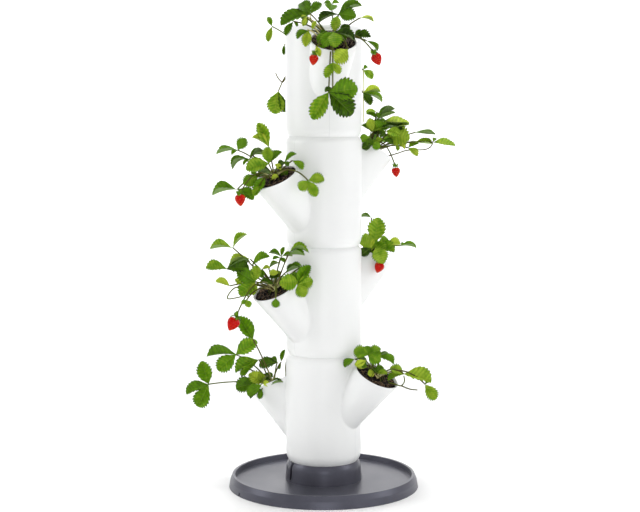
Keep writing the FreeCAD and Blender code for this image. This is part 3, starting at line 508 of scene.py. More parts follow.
PLANTS["tier_3_left"] = (3, "low", [
    [(-12, 2, 60, 2), (-22, 0, 50, 72, .6, .44), (-33, -8, 22, 40, 1.05, .5)],
    [(-76, 0, 54, 8), (-44, 0, -6, 12, .4, .56), (17, 2, 24, 68, .4, .78), (-12, -6, -9, 30, .5, .6)],
    [(-52, 2, 36, 6), (-35, 0, -21, 16, .25, .5, .14), (-12, -6, -12, 30, .5, .5), (26, 8, 18, 8, .2, .5)],
    [(-12, -10, 27, 2), (-46, -8, -12, 62, .55, .68), (-4, 2, 34, 80, .58, .66), (26, 6, 25, 40, .35, .5)],
    [(-34, -12, 0, 4), (-30, -8, -14, 82, .5, .78), (27, 4, 8, 8, .15, .5), (-14, 6, 8, 45, .4, .6)],
    [(-76, -18, -25, 16), (-52, 0, -8, 20, .4, .56), (34, -4, -19, 58, .35, .6)],
    [(-30, -32, -17, 12), (-12, -6, -20, 68, .6, .62)],
    [(20, 4, 30, 2), (-14, -4, -4, 65, .1, .8), (24, 4, 17, 24, .4, .6), (8, -8, -8, 60, .2, .7)],
    [(36, 2, 33, 4), (22, 0, -18, 45, .5, .6)],
    [(68, -38, -6, 20), (33, 2, 3, 60, .6, .68), (-17, -4, -19, 82, .6, .84), (17, -2, -32, 82, .6, .56)],
    [(2, -4, 14, 1), (12, 0, 11, 45, .15, .7)],
    [(-46, -4, 44, 3), (20, 0, 12, 8, .02, .26), (25, -2, 2, 18, .1, .4)],
    [(-38, -12, 4, 3), (29, 0, 6, 14, .05, .36)],
    [(-20, -18, 0, 1), (-20, -22, -33, 68, .38, .46), (-8, -8, -18, 60, .1, .6)],
    [(-8, -10, -6, 1), (16, -2, 8, 50, 1.1, .6)],
    [(27, 2, 16, 1), (-12, -4, -18, 68, .12, .6)],
    [(13, -4, 14, 1), (-12, -2, 12, 60, .95, .6)],
], [((-70, -42, -33, 26), (2, -2, -26), 25)], [])
PLANTS["tier_4_front"] = (4, "high", [
    [(-46, 8, 52, 4), (-60, -6, -22, 42, .25, .6), (-20, 12, 24, 70, .25, .82), (22, 4, 22, 60, .3, .6)],
    [(-80, 8, 37, 8), (-16, 0, -28, 62, .3, .42), (8, 2, -10, 60, .4, .5)],
    [(-52, 2, 46, 2), (-8, -2, -17, 70, .6, .7), (-12, -8, -4, 60, .9, .7)],
    [(-50, -12, 18, 6), (-23, -4, -16, 45, .35, .56), (-6, -8, -32, 82, .8, .56)],
    [(-4, 14, 72, 2), (-2, -22, -13, 90, .35, .9), (-16, 10, 2, 30, .4, .7), (16, 10, 3, 40, .4, .7)],
    [(10, 4, 51, 2), (46, 2, 19, 24, .25, .56), (34, -14, -4, 74, .35, .76), (-42, 2, -14, 22, .05, .64)],
    [(8, -8, 48, 2), (-7, -12, -31, 82, .65, .58)],
    [(12, -6, 14, 1), (20, 0, 14, 40, .1, .7)],
    [(0, -38, 14, 1), (4, -20, -30, 86, .52, .8), (-22, -6, -26, 80, .45, .74), (42, -4, -14, 36, .05, .5)],
    [(42, -4, 5, 4), (32, -6, 2, 44, .05, .74), (16, 6, 13, 40, .2, .6)],
    [(66, -10, -2, 8), (22, 0, -20, 35, .45, .36)],
    [(54, 6, 44, 6), (27, 0, -5, 16, .95, .7)],
    [(28, -50, -20, 20), (-25, -8, -26, 86, .8, .8)],
    [(-2, -58, -46, 38), (-14, -3, -30, 80, .6, .5), (14, -2, -22, 80, .7, .6)],
    [(-10, -58, -104, 62), (57, -5, 7, 78, .42, .74), (47, 0, -44, 82, .1, .66),
     (-32, -3, -53, 80, .55, .52)],
    [(-43, -8, 19, 2), (8, -2, 18, 70, .9, .42)],
    [(-15, -16, 17, 2), (-8, -18, -34, 84, .42, .72), (-12, 0, -4, 40, .3, .5)],
    [(13, -10, 13, 2), (20, 0, 12, 60, .08, .6), (10, -6, -16, 70, .3, .6)],
    [(-53, -6, 43, 1), (-8, -2, -16, 66, .9, .5)],
    [(-35, -44, -14, 3), (8, -6, -20, 80, 1, .5)],
    [(-2, -62, -96, 30), (-16, -2, -6, 60, .1, .6)],
], [((-38, -50, -31, 26), (-3, -3, -20), 21), ((81, -24, -28, 26), (10, -2, -22), 25)], [
    (0, [(-4, 0, 2), (-24, -6, 8), (-40, -4, 28), (-47, 6, 50)]),
    (0, [(-2, 0, 2), (-20, -10, 6), (-36, -10, 22), (-50, -2, 44)]),
    (0, [(-3, 2, 2), (-18, -2, 12), (-36, 0, 34), (-54, 4, 46)]),
    (0, [(-4, -4, 2), (-26, -14, 4), (-42, -14, 16), (-52, -10, 20)]),
])
PLANTS["tier_4_back"] = (4, "low", [
    [(-80, 38, -54, 36), (-9, 2, -50, 86, .6, .74), (14, 6, -47, 72, .15, .34)],
    [(-93, 16, 86, 12), (-9, 2, 21, 72, .5, .5), (-9, 0, -33, 76, .7, .4)],
    [(-66, 14, 48, 8), (-1, 0, -24, 35, .4, .32)],
    [(106, 14, -8, 24), (21, 0, -19, 55, .6, .66), (10, 8, 8, 50, .5, .6)],
    [(106, 22, -58, 44), (39, 2, 4, 26, .9, .6), (44, 2, -17, 22, .5, .56), (18, -2, -26, 65, .15, .6)],
    [(-24, 38, 34, 6), (-34, 18, 6, 45, .5, .74), (0, 36, 4, 45, .5, .74), (28, 20, 8, 45, .4, .74)],
    [(34, 36, 22, 6), (32, 8, 4, 45, .5, .74), (12, 36, -4, 45, .5, .74), (-20, 24, 12, 45, .4, .74)],
    [(2, 62, -20, 20), (-24, 12, -28, 80, .5, .74), (4, 16, -36, 85, .6, .74), (28, 8, -20, 75, .5, .74)],
], [((-10, 58, -46, 40), (0, 4, -24), 24)], [
    (.15, [(106, 14, -8), (108, 26, -40), (107, 32, -80), (108, 34, -122)]),
    (1, [(-62, 30, -20), (-70, 32, -34), (-80, 34, -26), (-86, 34, -14)]),
])


def sepal(surface, base, reach, out, arch, tip):
    """One sepal whose upper side faces out: a thin closed lens, pointed at its tip.

    At share t its half width is the sine of pi times t to the power 0.8, to the power 0.8; it
    lifts by arch times the sine of pi t plus tip times t squared, and its section is an ellipse.
    """
    share = np.linspace(0, 1, 9)[:, None]
    angle = around(8)
    length = np.linalg.norm(reach)
    along = unit(reach)
    up = unit(out - along * (out @ along))
    across = np.cross(up, along)
    half = 0.5 * SEPAL_WIDTH * length * np.sin(math.pi * share**0.8) ** 0.8 + 0.05 * MM
    lift = length * (arch * np.sin(math.pi * share) + tip * share**2)
    points = (
        base
        + along * (share * length + 0 * angle)[..., None]
        + across * (half * np.cos(angle))[..., None]
        + up * (lift + 0.25 * MM * np.sin(angle))[..., None]
    )
    surface.put(points[None], along=share, across=np.cos(angle), tone=SEPAL_TONE, span=half)


def sepals(surface, top, hang, length, seed):
    """The green star on a berry's shoulder: ten sepals at even angles round the stalk.

    Every other one lies over the shoulder, and those between stand off it with their tips up.
    """
    draw = np.random.default_rng(seed)
    hang = unit(hang)
    aside = unit(np.cross(hang, BERRY_SIDE))
    other = np.cross(hang, aside)
    turn = around(SEPAL_COUNT) + draw.uniform(-0.15, 0.15, SEPAL_COUNT)
    for one in range(SEPAL_COUNT):
        spoke = math.cos(turn[one]) * aside + math.sin(turn[one]) * other
        lying = one % 2 == 0
        fall = draw.uniform(0.15, 0.5) if lying else draw.uniform(-0.9, -0.3)
        reach = (spoke * 0.85 + hang * fall) * length * SEPAL_LENGTH
        outward = spoke * 0.8 - hang if lying else -hang
        arch, tip = (0.3, 0.05) if lying else (-0.12, 0.3)
        sepal(surface, top - hang * 0.4 * MM + spoke * 0.6 * MM, reach, outward, arch, tip)


def plant(name, tier, pocket, leaves, berries, strands, materials, seed):
    """One plant in one piece: its stalks in their sheaths, its curls, its blades and its stars.

    Stalks are parabolas from the crown to the ends in the table, and bent stalks run through their
    points. A sheath is a short, wide stalk round a stalk's foot, and curls are short stalks that
    bow from the crown down to the soil.
    """
    surface = Surface("along", "across", "under", "tone", "span")
    middle = mouth(tier, pocket)
    normal = mouth_normal(tier, pocket)
    foot = middle - UP * SOIL_DROP
    root = foot + normal * CROWN_HEIGHT * 0.6
    draw = np.random.default_rng(seed)
    tips = np.array([part[0] for part in leaves + berries], float) * MM
    ends, bows = tips[:, :3] + middle, tips[:, 3]
    spots = draw.normal(size=(len(ends), 3))
    spots = CROWN_SPREAD * unit(spots - (spots @ normal)[:, None] * normal)
    starts = root + spots - normal * STALK_DEPTH
    tones = draw.uniform(0.45, 0.9, len(ends))
    stalks(surface, starts, ends, bows, STALK_RADII, tones)
    sheath_way = unit(ends - starts + bows[:, None] * 3 * UP) * SHEATH_LENGTH
    stalks(surface, starts - normal * 2 * MM, starts + sheath_way, 0 * bows, SHEATH_RADII, 0.1 + 0 * bows, 8)
    for age, places in strands:
        strand(surface, np.array(places, float) * MM + middle, draw.uniform(0.3, 0.9), age)
    aside = unit(np.cross(normal, UP))
    way = around(CURL_COUNT) + draw.uniform(-0.3, 0.3, CURL_COUNT)
    away = spokes(way, aside, np.cross(normal, aside))
    curl_ends = foot + away * draw.uniform(*CURL_REACH, CURL_COUNT)[:, None] * MM - normal * 1.5 * MM
    curl_bows = draw.uniform(*CURL_BOW, CURL_COUNT) * MM
    curl_starts = root + away * 2 * MM - normal * 4 * MM
    stalks(surface, curl_starts, curl_ends, curl_bows, CURL_RADII, draw.uniform(0.6, 1.1, CURL_COUNT))
    base = np.array([leaf[0][:3] for leaf in leaves for _ in leaf[1:]], float) * MM + middle
    shapes = np.array([(*blade, 0.0)[:7] for leaf in leaves for blade in leaf[1:]], float)
    blades(surface, base, shapes[:, :3] * MM, *shapes[:, 3:].T, seed + 7)
    for number, (end, hang, length) in enumerate(berries):
        top = np.array(end[:3], float) * MM + middle
        sepals(surface, top, np.array(hang, float), length * MM, seed + number)
    made = surface.piece(name + "_strawberry_plant", "tier_%d" % tier, materials)
    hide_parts(name + "_plant")


def berry_radius(share, length):
    """A berry's radius at a share of its length: the sine of pi times share^0.64, to the power 0.7."""
    return BERRY_WIDTH * length * np.sin(math.pi * np.clip(share, 0, 1) ** 0.64) ** 0.7


def berry_fruit(name, tier, pocket, berries, materials, seed):
    """Strawberries: a turned heart, dented where each pip sits, with the pips in their dents.

    The shoulder stands round the stalk: the skin sinks by a share of the length that dies away
    with the place along it. Pips stand in rows, each row half a step round from the last. A dent
    is a bell curve of the distance from its pip, and two low waves round the berry make it uneven.
    """
    surface = Surface("ripe")
    middle = mouth(tier, pocket)
    draw = np.random.default_rng(seed)
    theta = np.linspace(0.12, math.pi - 0.05, 56)[:, None]
    share = (1 - np.cos(theta)) / 2
    turn = around(56)
    level = theta / math.pi * PIP_ROWS
    near = np.round(level)
    apart = (turn / (2 * math.pi) * PIPS_ROUND + 0.5 * (near % 2) + 0.5) % 1.0 - 0.5
    away = np.hypot((level - near) * 1.1, apart * 1.4)
    dent = DENT_DEPTH * np.exp(-(away / 0.22) ** 2) * np.sin(theta)
    sink = 0.1 * np.exp(-share / 0.02)
    pip_level = np.repeat(np.arange(1, PIP_ROWS), PIPS_ROUND)
    pip_share = (1 - np.cos(pip_level / PIP_ROWS * math.pi)) / 2
    pip_turn = np.tile(np.arange(PIPS_ROUND), PIP_ROWS - 1) - 0.5 * (pip_level % 2)
    pip_turn = pip_turn / PIPS_ROUND * 2 * math.pi
    for end, hang, length in berries:
        top = np.array(end[:3], float) * MM + middle
        length = length * MM
        axis = unit(np.array(hang, float))
        aside = unit(np.cross(axis, BERRY_SIDE))
        other = np.cross(axis, aside)

        def place(share, radius, turn):
            """The top, plus a share of the length along the axis, plus a radius turned round it."""
            along = axis * (share * length + 0 * turn)[..., None]
            wide, deep = (radius * np.cos(turn))[..., None], (radius * np.sin(turn))[..., None]
            return top + along + wide * aside + deep * other

        lump = 1 + 0.035 * np.sin(3 * turn + draw.uniform(0, 6))
        lump = lump + 0.02 * np.sin(5 * turn + draw.uniform(0, 6))
        skin = place(share + sink, berry_radius(share, length) * lump - dent, turn)
        surface.put(skin[None], ripe=share)
        pips = place(pip_share, berry_radius(pip_share, length) - PIP_DEPTH, pip_turn)
        lumps(surface, pips, np.full(len(pips), PIP_RADIUS), seed, 1)
    made = surface.piece(name + "_strawberries", "tier_%d" % tier, materials)
    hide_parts(name + "_berries")


# The soil


def soil_patch(name, tier, middle, normal, along, radii, materials, seed):
    """The rough top of the soil: a domed, lumpy disc strewn with crumbs and coir fibres.

    The disc's height is a base, plus one less the squared share of its radius, scaled, plus two
    sizes of wave, and its rim turns down into the soil. A crumb is a lump, and a fibre is a thin
    tube along a parabola.
    """
    surface = Surface("shade")
    draw = np.random.default_rng(seed)
    across = np.cross(normal, along)

    def height(u, v):
        """How far the disc stands over its plane, at shares u and v of its radii."""
        flat = np.stack([u * radii[0], v * radii[1]], -1)
        dome = 0.9 * MM + 1.6 * MM * (1 - u**2 - v**2)
        return dome + 0.8 * MM * waves(flat, 16 * MM, seed) + 0.5 * MM * waves(flat, 5 * MM, seed + 1)

    def spot(u, v, lift):
        """The middle, plus u and v of the two radii, plus the lift along the normal."""
        flat = middle + along * (u * radii[0])[..., None] + across * (v * radii[1])[..., None]
        return flat + normal * np.asarray(lift)[..., None]

    def strewn(count, nearest, farthest):
        """Random u and v, even by area, with u squared plus v squared between two bounds."""
        far = np.sqrt(draw.uniform(nearest, farthest, count))
        way = draw.uniform(0, 2 * math.pi, count)
        return far * np.cos(way), far * np.sin(way)

    share = np.linspace(0.02, 1, 40)[:, None]
    turn = around(96)
    u, v = share * np.cos(turn), share * np.sin(turn)
    top = spot(u, v, np.maximum(height(u, v), 0.15 * MM))
    rim = spot(u[-1:], v[-1:], -1.5 * MM)
    surface.put(np.concatenate([top, rim])[None], order=-1, shade=0.2)
    crumbs = int(CRUMB_DENSITY * radii[0] * radii[1])
    u, v = strewn(crumbs, 0, 0.93)
    size = draw.uniform(0.5, 1.0, crumbs) ** 2 * CRUMB_RADIUS
    spots = spot(u, v, height(u, v) + 0.2 * size)
    lumps(surface, spots, size, seed + 2, shade=draw.uniform(0, 1, crumbs))
    fibres = crumbs // 3
    u, v = strewn(fibres, 0.2, 0.9)
    run = spokes(draw.uniform(0, 2 * math.pi, fibres), along, across)
    run = run * draw.uniform(3, 8, fibres)[:, None] * MM
    centre = spot(u, v, height(u, v) + 0.9 * MM)
    rise = draw.uniform(0.4, 2.2, fibres) * MM
    _, line, _, aside = parabolas(centre - run, centre + run, rise, 7)
    section = tube_sections(aside, unit(np.cross(run[:, None, :], aside)), 4)
    shade = draw.uniform(0, 1, fibres) ** 1.5
    surface.put(line[:, :, None, :] + FIBRE_RADIUS * section, 1, shade=shade[:, None, None])
    surface.piece(name, "tier_%d" % tier, materials)


# Materials

SMOOTH = {"interpolation_type": "SMOOTHSTEP"}
COLOURS = {"output": 2, "data_type": "RGBA"}


def colour(code):
    """A linear colour from an sRGB hex code."""
    parts = np.array([int(code[at:at + 2], 16) for at in (1, 3, 5)]) / 255
    linear = np.where(parts <= 0.04045, parts / 12.92, ((parts + 0.055) / 1.055) ** 2.4)
    return (*linear.tolist(), 1.0)


def add(tree, kind, inputs, output=0, **properties):
    """Adds a shader node and gives back one of its outputs.

    Inputs go by name or number, or are a list in the node's own order, which for a Map Range is
    the value, the range it comes from and the range it goes to. One that is another node's output
    is linked, one that is text is a colour's hex code, and any other is set.
    """
    made = tree.nodes.new("ShaderNode" + kind)
    for name, value in properties.items():
        setattr(made, name, value)
    for name, value in (inputs.items() if isinstance(inputs, dict) else enumerate(inputs)):
        if isinstance(value, bpy.types.NodeSocket):
            tree.links.new(value, made.inputs[name])
        else:
            made.inputs[name].default_value = colour(value) if isinstance(value, str) else value
    return made.outputs[output] if len(made.outputs) else None


def material(name, build, *settings):
    """A material whose surface is the shader that build makes, given the way to add nodes to it."""
    made = bpy.data.materials.new(name)
    made.use_nodes = True
    made.node_tree.nodes.clear()
    node = functools.partial(add, made.node_tree)
    node("OutputMaterial", [build(node, *settings)])
    return made


def moulded_white(node, turn):
    """Injection-moulded polypropylene, white: a satin gloss that light sinks into a little.

    It gives the eye a clean, faintly cool white with soft highlights, and a fine line where the
    mould's halves met, in the upright plane through the pockets. The mould's grain is drawn at
    1.1 mm, coarser than the real one, so that it shows.
    """
    place = node("TexCoord", [], "Object")
    angle = math.radians(turn)
    across = (-math.sin(angle), math.cos(angle), 0)
    off_plane = node("VectorMath", [place, across], "Value", operation="DOT_PRODUCT")
    distance = node("Math", [off_plane], operation="ABSOLUTE")
    line = node("MapRange", [distance, 0.2 * MM, 0.8 * MM, 1.0, 0.0], **SMOOTH)
    cloud = node("TexNoise", {"Vector": place, "Scale": 1 / (110 * MM), "Detail": 3.0})
    skin = node("TexNoise", {"Vector": place, "Scale": 1 / (1.1 * MM), "Detail": 2.0})
    tint = node("Mix", {0: cloud, 6: "#f2f3f2", 7: "#eceded"}, **COLOURS)
    faint = node("Math", [line, 0.35], operation="MULTIPLY")
    tint = node("Mix", {0: faint, 6: tint, 7: "#c9ccce"}, **COLOURS)
    rough = node("MapRange", [cloud, 0.3, 0.7, 0.3, 0.38])
    fine = node("Math", [skin, 0.12], operation="MULTIPLY")
    relief = node("Math", [line, 0.6, fine], operation="MULTIPLY_ADD")
    bump = node("Bump", {"Height": relief, "Strength": 0.25, "Distance": 0.3 * MM})
    return node("BsdfPrincipled", {
        "Base Color": tint, "Roughness": rough, "Normal": bump, "IOR": 1.49, "Subsurface Weight": 0.15,
        "Subsurface Radius": (1.0, 1.0, 1.0), "Subsurface Scale": 2 * MM})


def moulded_grey(node, light, dark):
    """Injection-moulded polypropylene, dark grey: satin, with a fine spark-eroded grain.

    It gives the eye a near-black slate that turns pale grey wherever it mirrors the bright room.
    The grain is drawn at 0.7 mm, coarser than the real one, so that it shows.
    """
    place = node("TexCoord", [], "Object")
    cloud = node("TexNoise", {"Vector": place, "Scale": 1 / (70 * MM), "Detail": 5.0})
    grain = node("TexNoise", {"Vector": place, "Scale": 1 / (0.7 * MM), "Detail": 2.0})
    share = node("MapRange", [cloud, 0.3, 0.7])
    tint = node("Mix", {0: share, 6: dark, 7: light}, **COLOURS)
    rough = node("MapRange", [cloud, 0.25, 0.75, 0.3, 0.4])
    bump = node("Bump", {"Height": grain, "Strength": 0.25, "Distance": 0.2 * MM})
    return node("BsdfPrincipled", {
        "Base Color": tint, "Roughness": rough, "Normal": bump, "IOR": 1.49, "Specular IOR Level": 0.55,
        "Specular Tint": "#e6e8ff"})


def strawberry_leaf(node):
    """Living strawberry leaf: waxy flesh between sunken side veins, and light that passes through.

    It gives the eye fresh greens from dark to yellow, with a paler midrib, pale undersides and a
    dull sheen. The green is painted darker in the troughs beside the side veins and lighter on the
    flesh between them, as painted shade, and the darker tones given to blades are partly painted
    shade as well.
    """
    place = node("TexCoord", [], "Object")
    tone, along, side, under, span = (
        node("Attribute", [], "Fac", attribute_name=name)
        for name in ("tone", "along", "across", "under", "span"))
    across = node("Math", [side], operation="ABSOLUTE")

    cloud = node("TexNoise", {"Vector": place, "Scale": 1 / (11 * MM), "Detail": 4.0})
    count = node("Math", [along, TOOTH_COUNT, 1.5 - TOOTH_TIP], operation="MULTIPLY_ADD")
    phase = node("Math", [count], operation="FRACT")
    from_vein = node("Math", [phase, 0.5], operation="SUBTRACT")
    off_vein = node("Math", [from_vein], operation="ABSOLUTE")
    # Painted shade: the green is darker in the troughs beside each side vein and lighter on the flesh
    # between them.
    painted_trough_shade = node("MapRange", [off_vein, 0.05, 0.4, -0.34, -0.23], **SMOOTH)
    tone_with_painted_shade = node("Math", [tone, painted_trough_shade], operation="ADD")
    patch = node("Math", [cloud, 0.6, tone_with_painted_shade], operation="MULTIPLY_ADD")
    to_middle = node("MapRange", [patch, 0.0, 0.5])
    past_middle = node("MapRange", [patch, 0.5, 1.0])

    rib_distance = node("Math", [across, span], operation="MULTIPLY")
    rib = node("MapRange", [rib_distance, 0.25 * MM, 0.75 * MM, 1.0, 0.0], **SMOOTH)
    vein = node("MapRange", [off_vein, 0.02, 0.09, 1.0, 0.0], **SMOOTH)
    fade = node("MapRange", [across, 0.5, 1.0, 0.6, 0.1])
    side_vein = node("Math", [vein, fade], operation="MULTIPLY")
    veins = node("Math", [rib, side_vein], operation="MAXIMUM")
    vein_share = node("Math", [veins, 0.3], operation="MULTIPLY")
    under_share = node("Math", [under, 0.6], operation="MULTIPLY")
    rim = node("MapRange", [across, 0.93, 1.0, 0.0, 0.3])
    tint = node("Mix", {0: to_middle, 6: "#243f00", 7: "#6a9c0c"}, **COLOURS)
    for share, code in ((past_middle, "#cee048"), (vein_share, "#a8c65a"), (under_share, "#9db878"),
                        (rim, "#8a9a3a")):
        tint = node("Mix", {0: share, 6: tint, 7: code}, **COLOURS)

    fine = node("TexNoise", {"Vector": place, "Scale": 1 / (1.4 * MM), "Detail": 3.0})
    pores = node("Math", [fine, 0.5], operation="MULTIPLY")
    relief = node("Math", [veins, -0.9, pores], operation="MULTIPLY_ADD")
    bump = node("Bump", {"Height": relief, "Strength": 0.5, "Distance": 0.6 * MM})
    rough = node("MapRange", [fine, 0.3, 0.7, 0.4, 0.55])
    flesh = node("BsdfPrincipled", {
        "Base Color": tint, "Roughness": rough, "Normal": bump, "IOR": 1.42, "Specular IOR Level": 0.22})
    glow = node("BsdfTranslucent", {"Color": tint, "Normal": bump})
    return node("MixShader", [0.22, flesh, glow])


def strawberry_stalk(node):
    """Living strawberry stalk: smooth, juicy and hairless.

    It gives the eye pale straw green at the foot and olive to reddish brown where the sun was on it.
    """
    place = node("TexCoord", [], "Object")
    tone, along = (node("Attribute", [], "Fac", attribute_name=name) for name in ("tone", "along"))
    cloud = node("TexNoise", {"Vector": place, "Scale": 1 / (17 * MM), "Detail": 3.0})
    low_tone = node("Math", [tone, 0.2], operation="SUBTRACT")
    share = node("Math", [cloud, 0.4, low_tone], operation="MULTIPLY_ADD")
    tip = node("Mix", {0: share, 6: "#43290f", 7: "#5e6a1c"}, **COLOURS)
    foot = node("Mix", {0: share, 6: "#c4ae74", 7: "#d9dd9c"}, **COLOURS)
    grown = node("MapRange", [along, 0.08, 0.4], **SMOOTH)
    tint = node("Mix", {0: grown, 6: foot, 7: tip}, **COLOURS)
    bump = node("Bump", {"Height": cloud, "Strength": 0.3, "Distance": 0.4 * MM})
    return node("BsdfPrincipled", {
        "Base Color": tint, "Normal": bump, "Roughness": 0.45, "IOR": 1.42, "Specular IOR Level": 0.3})


def strawberry_skin(node):
    """Ripe strawberry: thin shiny skin over juicy flesh.

    It gives the eye a deep red with small soft highlights, and a paler shoulder under the star.
    """
    place = node("TexCoord", [], "Object")
    share = node("Attribute", [], "Fac", attribute_name="ripe")
    cloud = node("TexNoise", {"Vector": place, "Scale": 1 / (8 * MM), "Detail": 3.0})
    ripe = node("MapRange", [share, 0.0, 0.2], **SMOOTH)
    tint = node("Mix", {0: cloud, 6: "#a60202", 7: "#cc0c04"}, **COLOURS)
    tint = node("Mix", {0: ripe, 6: "#d8361c", 7: tint}, **COLOURS)
    return node("BsdfPrincipled", {
        "Base Color": tint, "Roughness": 0.22, "IOR": 1.38, "Specular IOR Level": 0.2})


def strawberry_pip(node):
    """Dry strawberry pips: hard little seeds on the skin.

    They give the eye matt straw-yellow specks, some browner.
    """
    place = node("TexCoord", [], "Object")
    cloud = node("TexNoise", {"Vector": place, "Scale": 1 / (2.5 * MM)})
    tint = node("Mix", {0: cloud, 6: "#a8741f", 7: "#e8c15a"}, **COLOURS)
    return node("BsdfPrincipled", {"Base Color": tint, "Roughness": 0.5})


def potting_soil(node, crumbly):
    """Damp potting soil: peat in crumbs, no two of one brown.

    It gives the eye a dark, matt, broken surface; crumbly soil takes each crumb's own shade.
    """
    place = node("TexCoord", [], "Object")
    cloud = node("TexNoise", {"Vector": place, "Scale": 1 / (4.5 * MM), "Detail": 6.0, "Roughness": 0.7})
    grit = node("TexVoronoi", {"Vector": place, "Scale": 1 / (2.4 * MM)})
    share = node("MapRange", [cloud, 0.35, 0.7])
    if crumbly:
        shade = node("Attribute", [], "Fac", attribute_name="shade")
        part = node("Math", [share, 0.4], operation="MULTIPLY")
        share = node("Math", [shade, 0.6, part], operation="MULTIPLY_ADD")
    tint = node("Mix", {0: share, 6: "#040303", 7: "#20150d"}, **COLOURS)
    relief = node("Math", [cloud, grit], operation="ADD")
    bump = node("Bump", {"Height": relief, "Strength": 0.8, "Distance": 1.5 * MM})
    return node("BsdfPrincipled", {
        "Base Color": tint, "Normal": bump, "Roughness": 0.9, "Specular IOR Level": 0.25})


def coir_fibre(node):
    """Coconut fibre, combed from the husk and chopped: dry and a little silky.

    It gives the eye thin tan and pinkish-brown strands over the dark crumbs.
    """
    place = node("TexCoord", [], "Object")
    shade = node("Attribute", [], "Fac", attribute_name="shade")
    cloud = node("TexNoise", {"Vector": place, "Scale": 1 / (3.3 * MM)})
    tint = node("Mix", {0: shade, 6: "#1f140c", 7: "#a98258"}, **COLOURS)
    rough = node("MapRange", [cloud, 0.3, 0.7, 0.55, 0.75])
    return node("BsdfPrincipled", {"Base Color": tint, "Roughness": rough, "Sheen Weight": 0.2})


def white_paper(node):
    """Matt background paper: it gives the eye an even pale floor and wall."""
    return node("BsdfPrincipled", {"Base Color": "#fdfdfd", "Roughness": 0.9})


def set_material(node, finish):
    """Gives a shown CAD node its finish."""
    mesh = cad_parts[node].data
    mesh.materials.clear()
    mesh.materials.append(finish)


plate_grey = material("moulded dark polypropylene", moulded_grey, "#34363a", "#2d2f32")
block_soil = material("potting soil", potting_soil, False)
soil_looks = [material("potting soil crumbs", potting_soil, True), material("coir fibre", coir_fibre)]
plant_looks = [material("strawberry leaf", strawberry_leaf), material("strawberry stalk", strawberry_stalk)]
berry_looks = [material("strawberry skin", strawberry_skin), material("strawberry pip", strawberry_pip)]

set_material("tray", material("moulded grey polypropylene", moulded_grey, "#4e4e57", "#43434b"))
for tier, turn in TIER_TURNS.items():
    white = material("moulded white polypropylene %d" % tier, moulded_white, turn)
    set_material("tier_%d_shell" % tier, white)
    set_material("tier_%d_drain_plate" % tier, plate_grey)
    set_material("tier_%d_soil" % tier, block_soil)

mouth_inner = MOUTH_RADIUS - WALL - MOUTH_SOIL_GAP
slant = math.cos(POCKET_TILT - MOUTH_TILT)
for number, (name, (tier, pocket, leaves, berries, strands)) in enumerate(PLANTS.items()):
    plant(name, tier, pocket, leaves, berries, strands, plant_looks, 100 + 10 * number)
    if berries:
        berry_fruit(name, tier, pocket, berries, berry_looks, 300 + number)
    downhill = outwards(tier, pocket, math.cos(MOUTH_TILT), -math.sin(MOUTH_TILT))
    axis = outwards(tier, pocket, math.sin(POCKET_TILT), math.cos(POCKET_TILT))
    middle = mouth(tier, pocket) - axis * SOIL_DROP * math.cos(MOUTH_TILT) / slant
    soil_patch(name + "_soil_top", tier, middle, mouth_normal(tier, pocket), downhill,
               (mouth_inner / slant, mouth_inner), soil_looks, 500 + number)

top_middle = UP * (SEAM_HEIGHT + 3 * TIER_PITCH + TOP_SOIL_HEIGHT)
top_radius = COLUMN_RADIUS - WALL - TOP_SOIL_GAP
soil_patch("tier_4_soil_top", 4, top_middle, UP, np.array([1.0, 0, 0]),
           (top_radius, top_radius), soil_looks, 600)


# Floor, light and camera

HALF_WIDTH = 9.0
FLOOR_FRONT = -7.0
WALL_FOOT = 6.0
WALL_BEND = 3.0
WALL_HEIGHT = 9.0


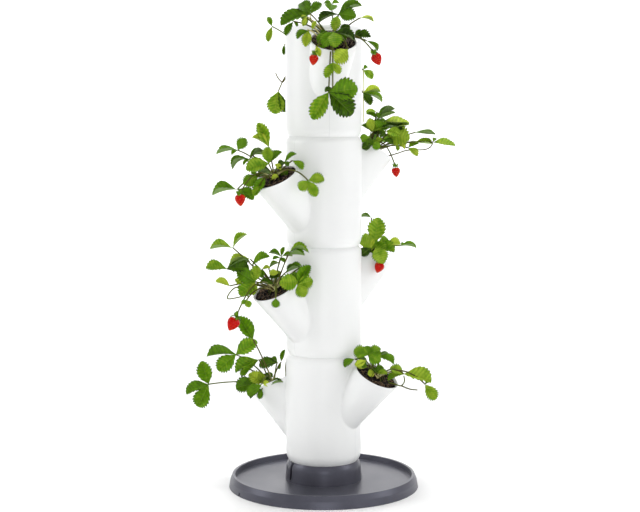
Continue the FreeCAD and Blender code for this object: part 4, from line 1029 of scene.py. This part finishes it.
def backdrop():
    """A pale floor that curves up into a wall: a quarter circle joins the two."""
    floor = np.linspace(FLOOR_FRONT, WALL_FOOT, 20)
    curve = np.linspace(0, math.pi / 2, 40)
    y = np.concatenate([floor, WALL_FOOT + WALL_BEND * np.sin(curve[1:]), [WALL_FOOT + WALL_BEND]])
    z = np.concatenate([0 * floor, WALL_BEND * (1 - np.cos(curve[1:])), [WALL_HEIGHT]])
    x = np.array([-HALF_WIDTH, HALF_WIDTH])
    points = np.stack(np.broadcast_arrays(x, y[:, None], z[:, None]), -1).reshape(-1, 3)
    row = np.arange(len(y) - 1) * 2
    squares = np.stack([row, row + 1, row + 3, row + 2], -1)
    mesh = bpy.data.meshes.new("backdrop")
    mesh.from_pydata(points.tolist(), [], squares.tolist())
    mesh.polygons.foreach_set("use_smooth", np.ones(len(squares), bool))
    mesh.materials.append(material("white paper", white_paper))
    sweep = shown("backdrop", mesh)


def soft_light(name, place, target, size, power):
    """A square soft box that looks at a point."""
    lamp = bpy.data.lights.new(name, "AREA")
    lamp.shape = "SQUARE"
    lamp.size = size
    lamp.energy = power
    made = shown(name, lamp)
    made.location = place
    made.rotation_euler = (Vector(target) - Vector(place)).to_track_quat("-Z", "Y").to_euler()


backdrop()
soft_light("left box", (-3.4, -0.2, 1.7), (0, 0, 0.4), 1.4, 32)
soft_light("right box", (3.4, -0.6, 1.7), (0, 0, 0.4), 1.4, 31)
soft_light("top box", (0, 0.6, 3.3), (0, 0, 0.45), 1.2, 45)
soft_light("front box", (0.1, -2.5, 0.35), (0, 0, 0.02), 0.9, 9)
soft_light("left wall light", (-3.5, 3.6, 3.4), (-1.0, 8.6, 1.6), 3.0, 240)
soft_light("right wall light", (3.5, 3.6, 3.4), (1.0, 8.6, 1.6), 3.0, 240)

world = bpy.data.worlds.new("studio")
world.use_nodes = True
background = world.node_tree.nodes["Background"]
background.inputs["Color"].default_value = colour("#ffffff")
background.inputs["Strength"].default_value = 0.59
bpy.context.scene.world = world
bpy.context.scene.view_settings.view_transform = "Standard"

# The lens, the place and the tilt were fitted to the curves that the photograph shows.
lens = bpy.data.cameras.new("camera")
lens.lens = 83.92
lens.sensor_width = 36.0
camera = shown("camera", lens)
camera.location = (-0.00765, -3.1383, 0.8183)
camera.rotation_euler = (math.radians(84.1), 0, 0)
bpy.context.scene.camera = camera
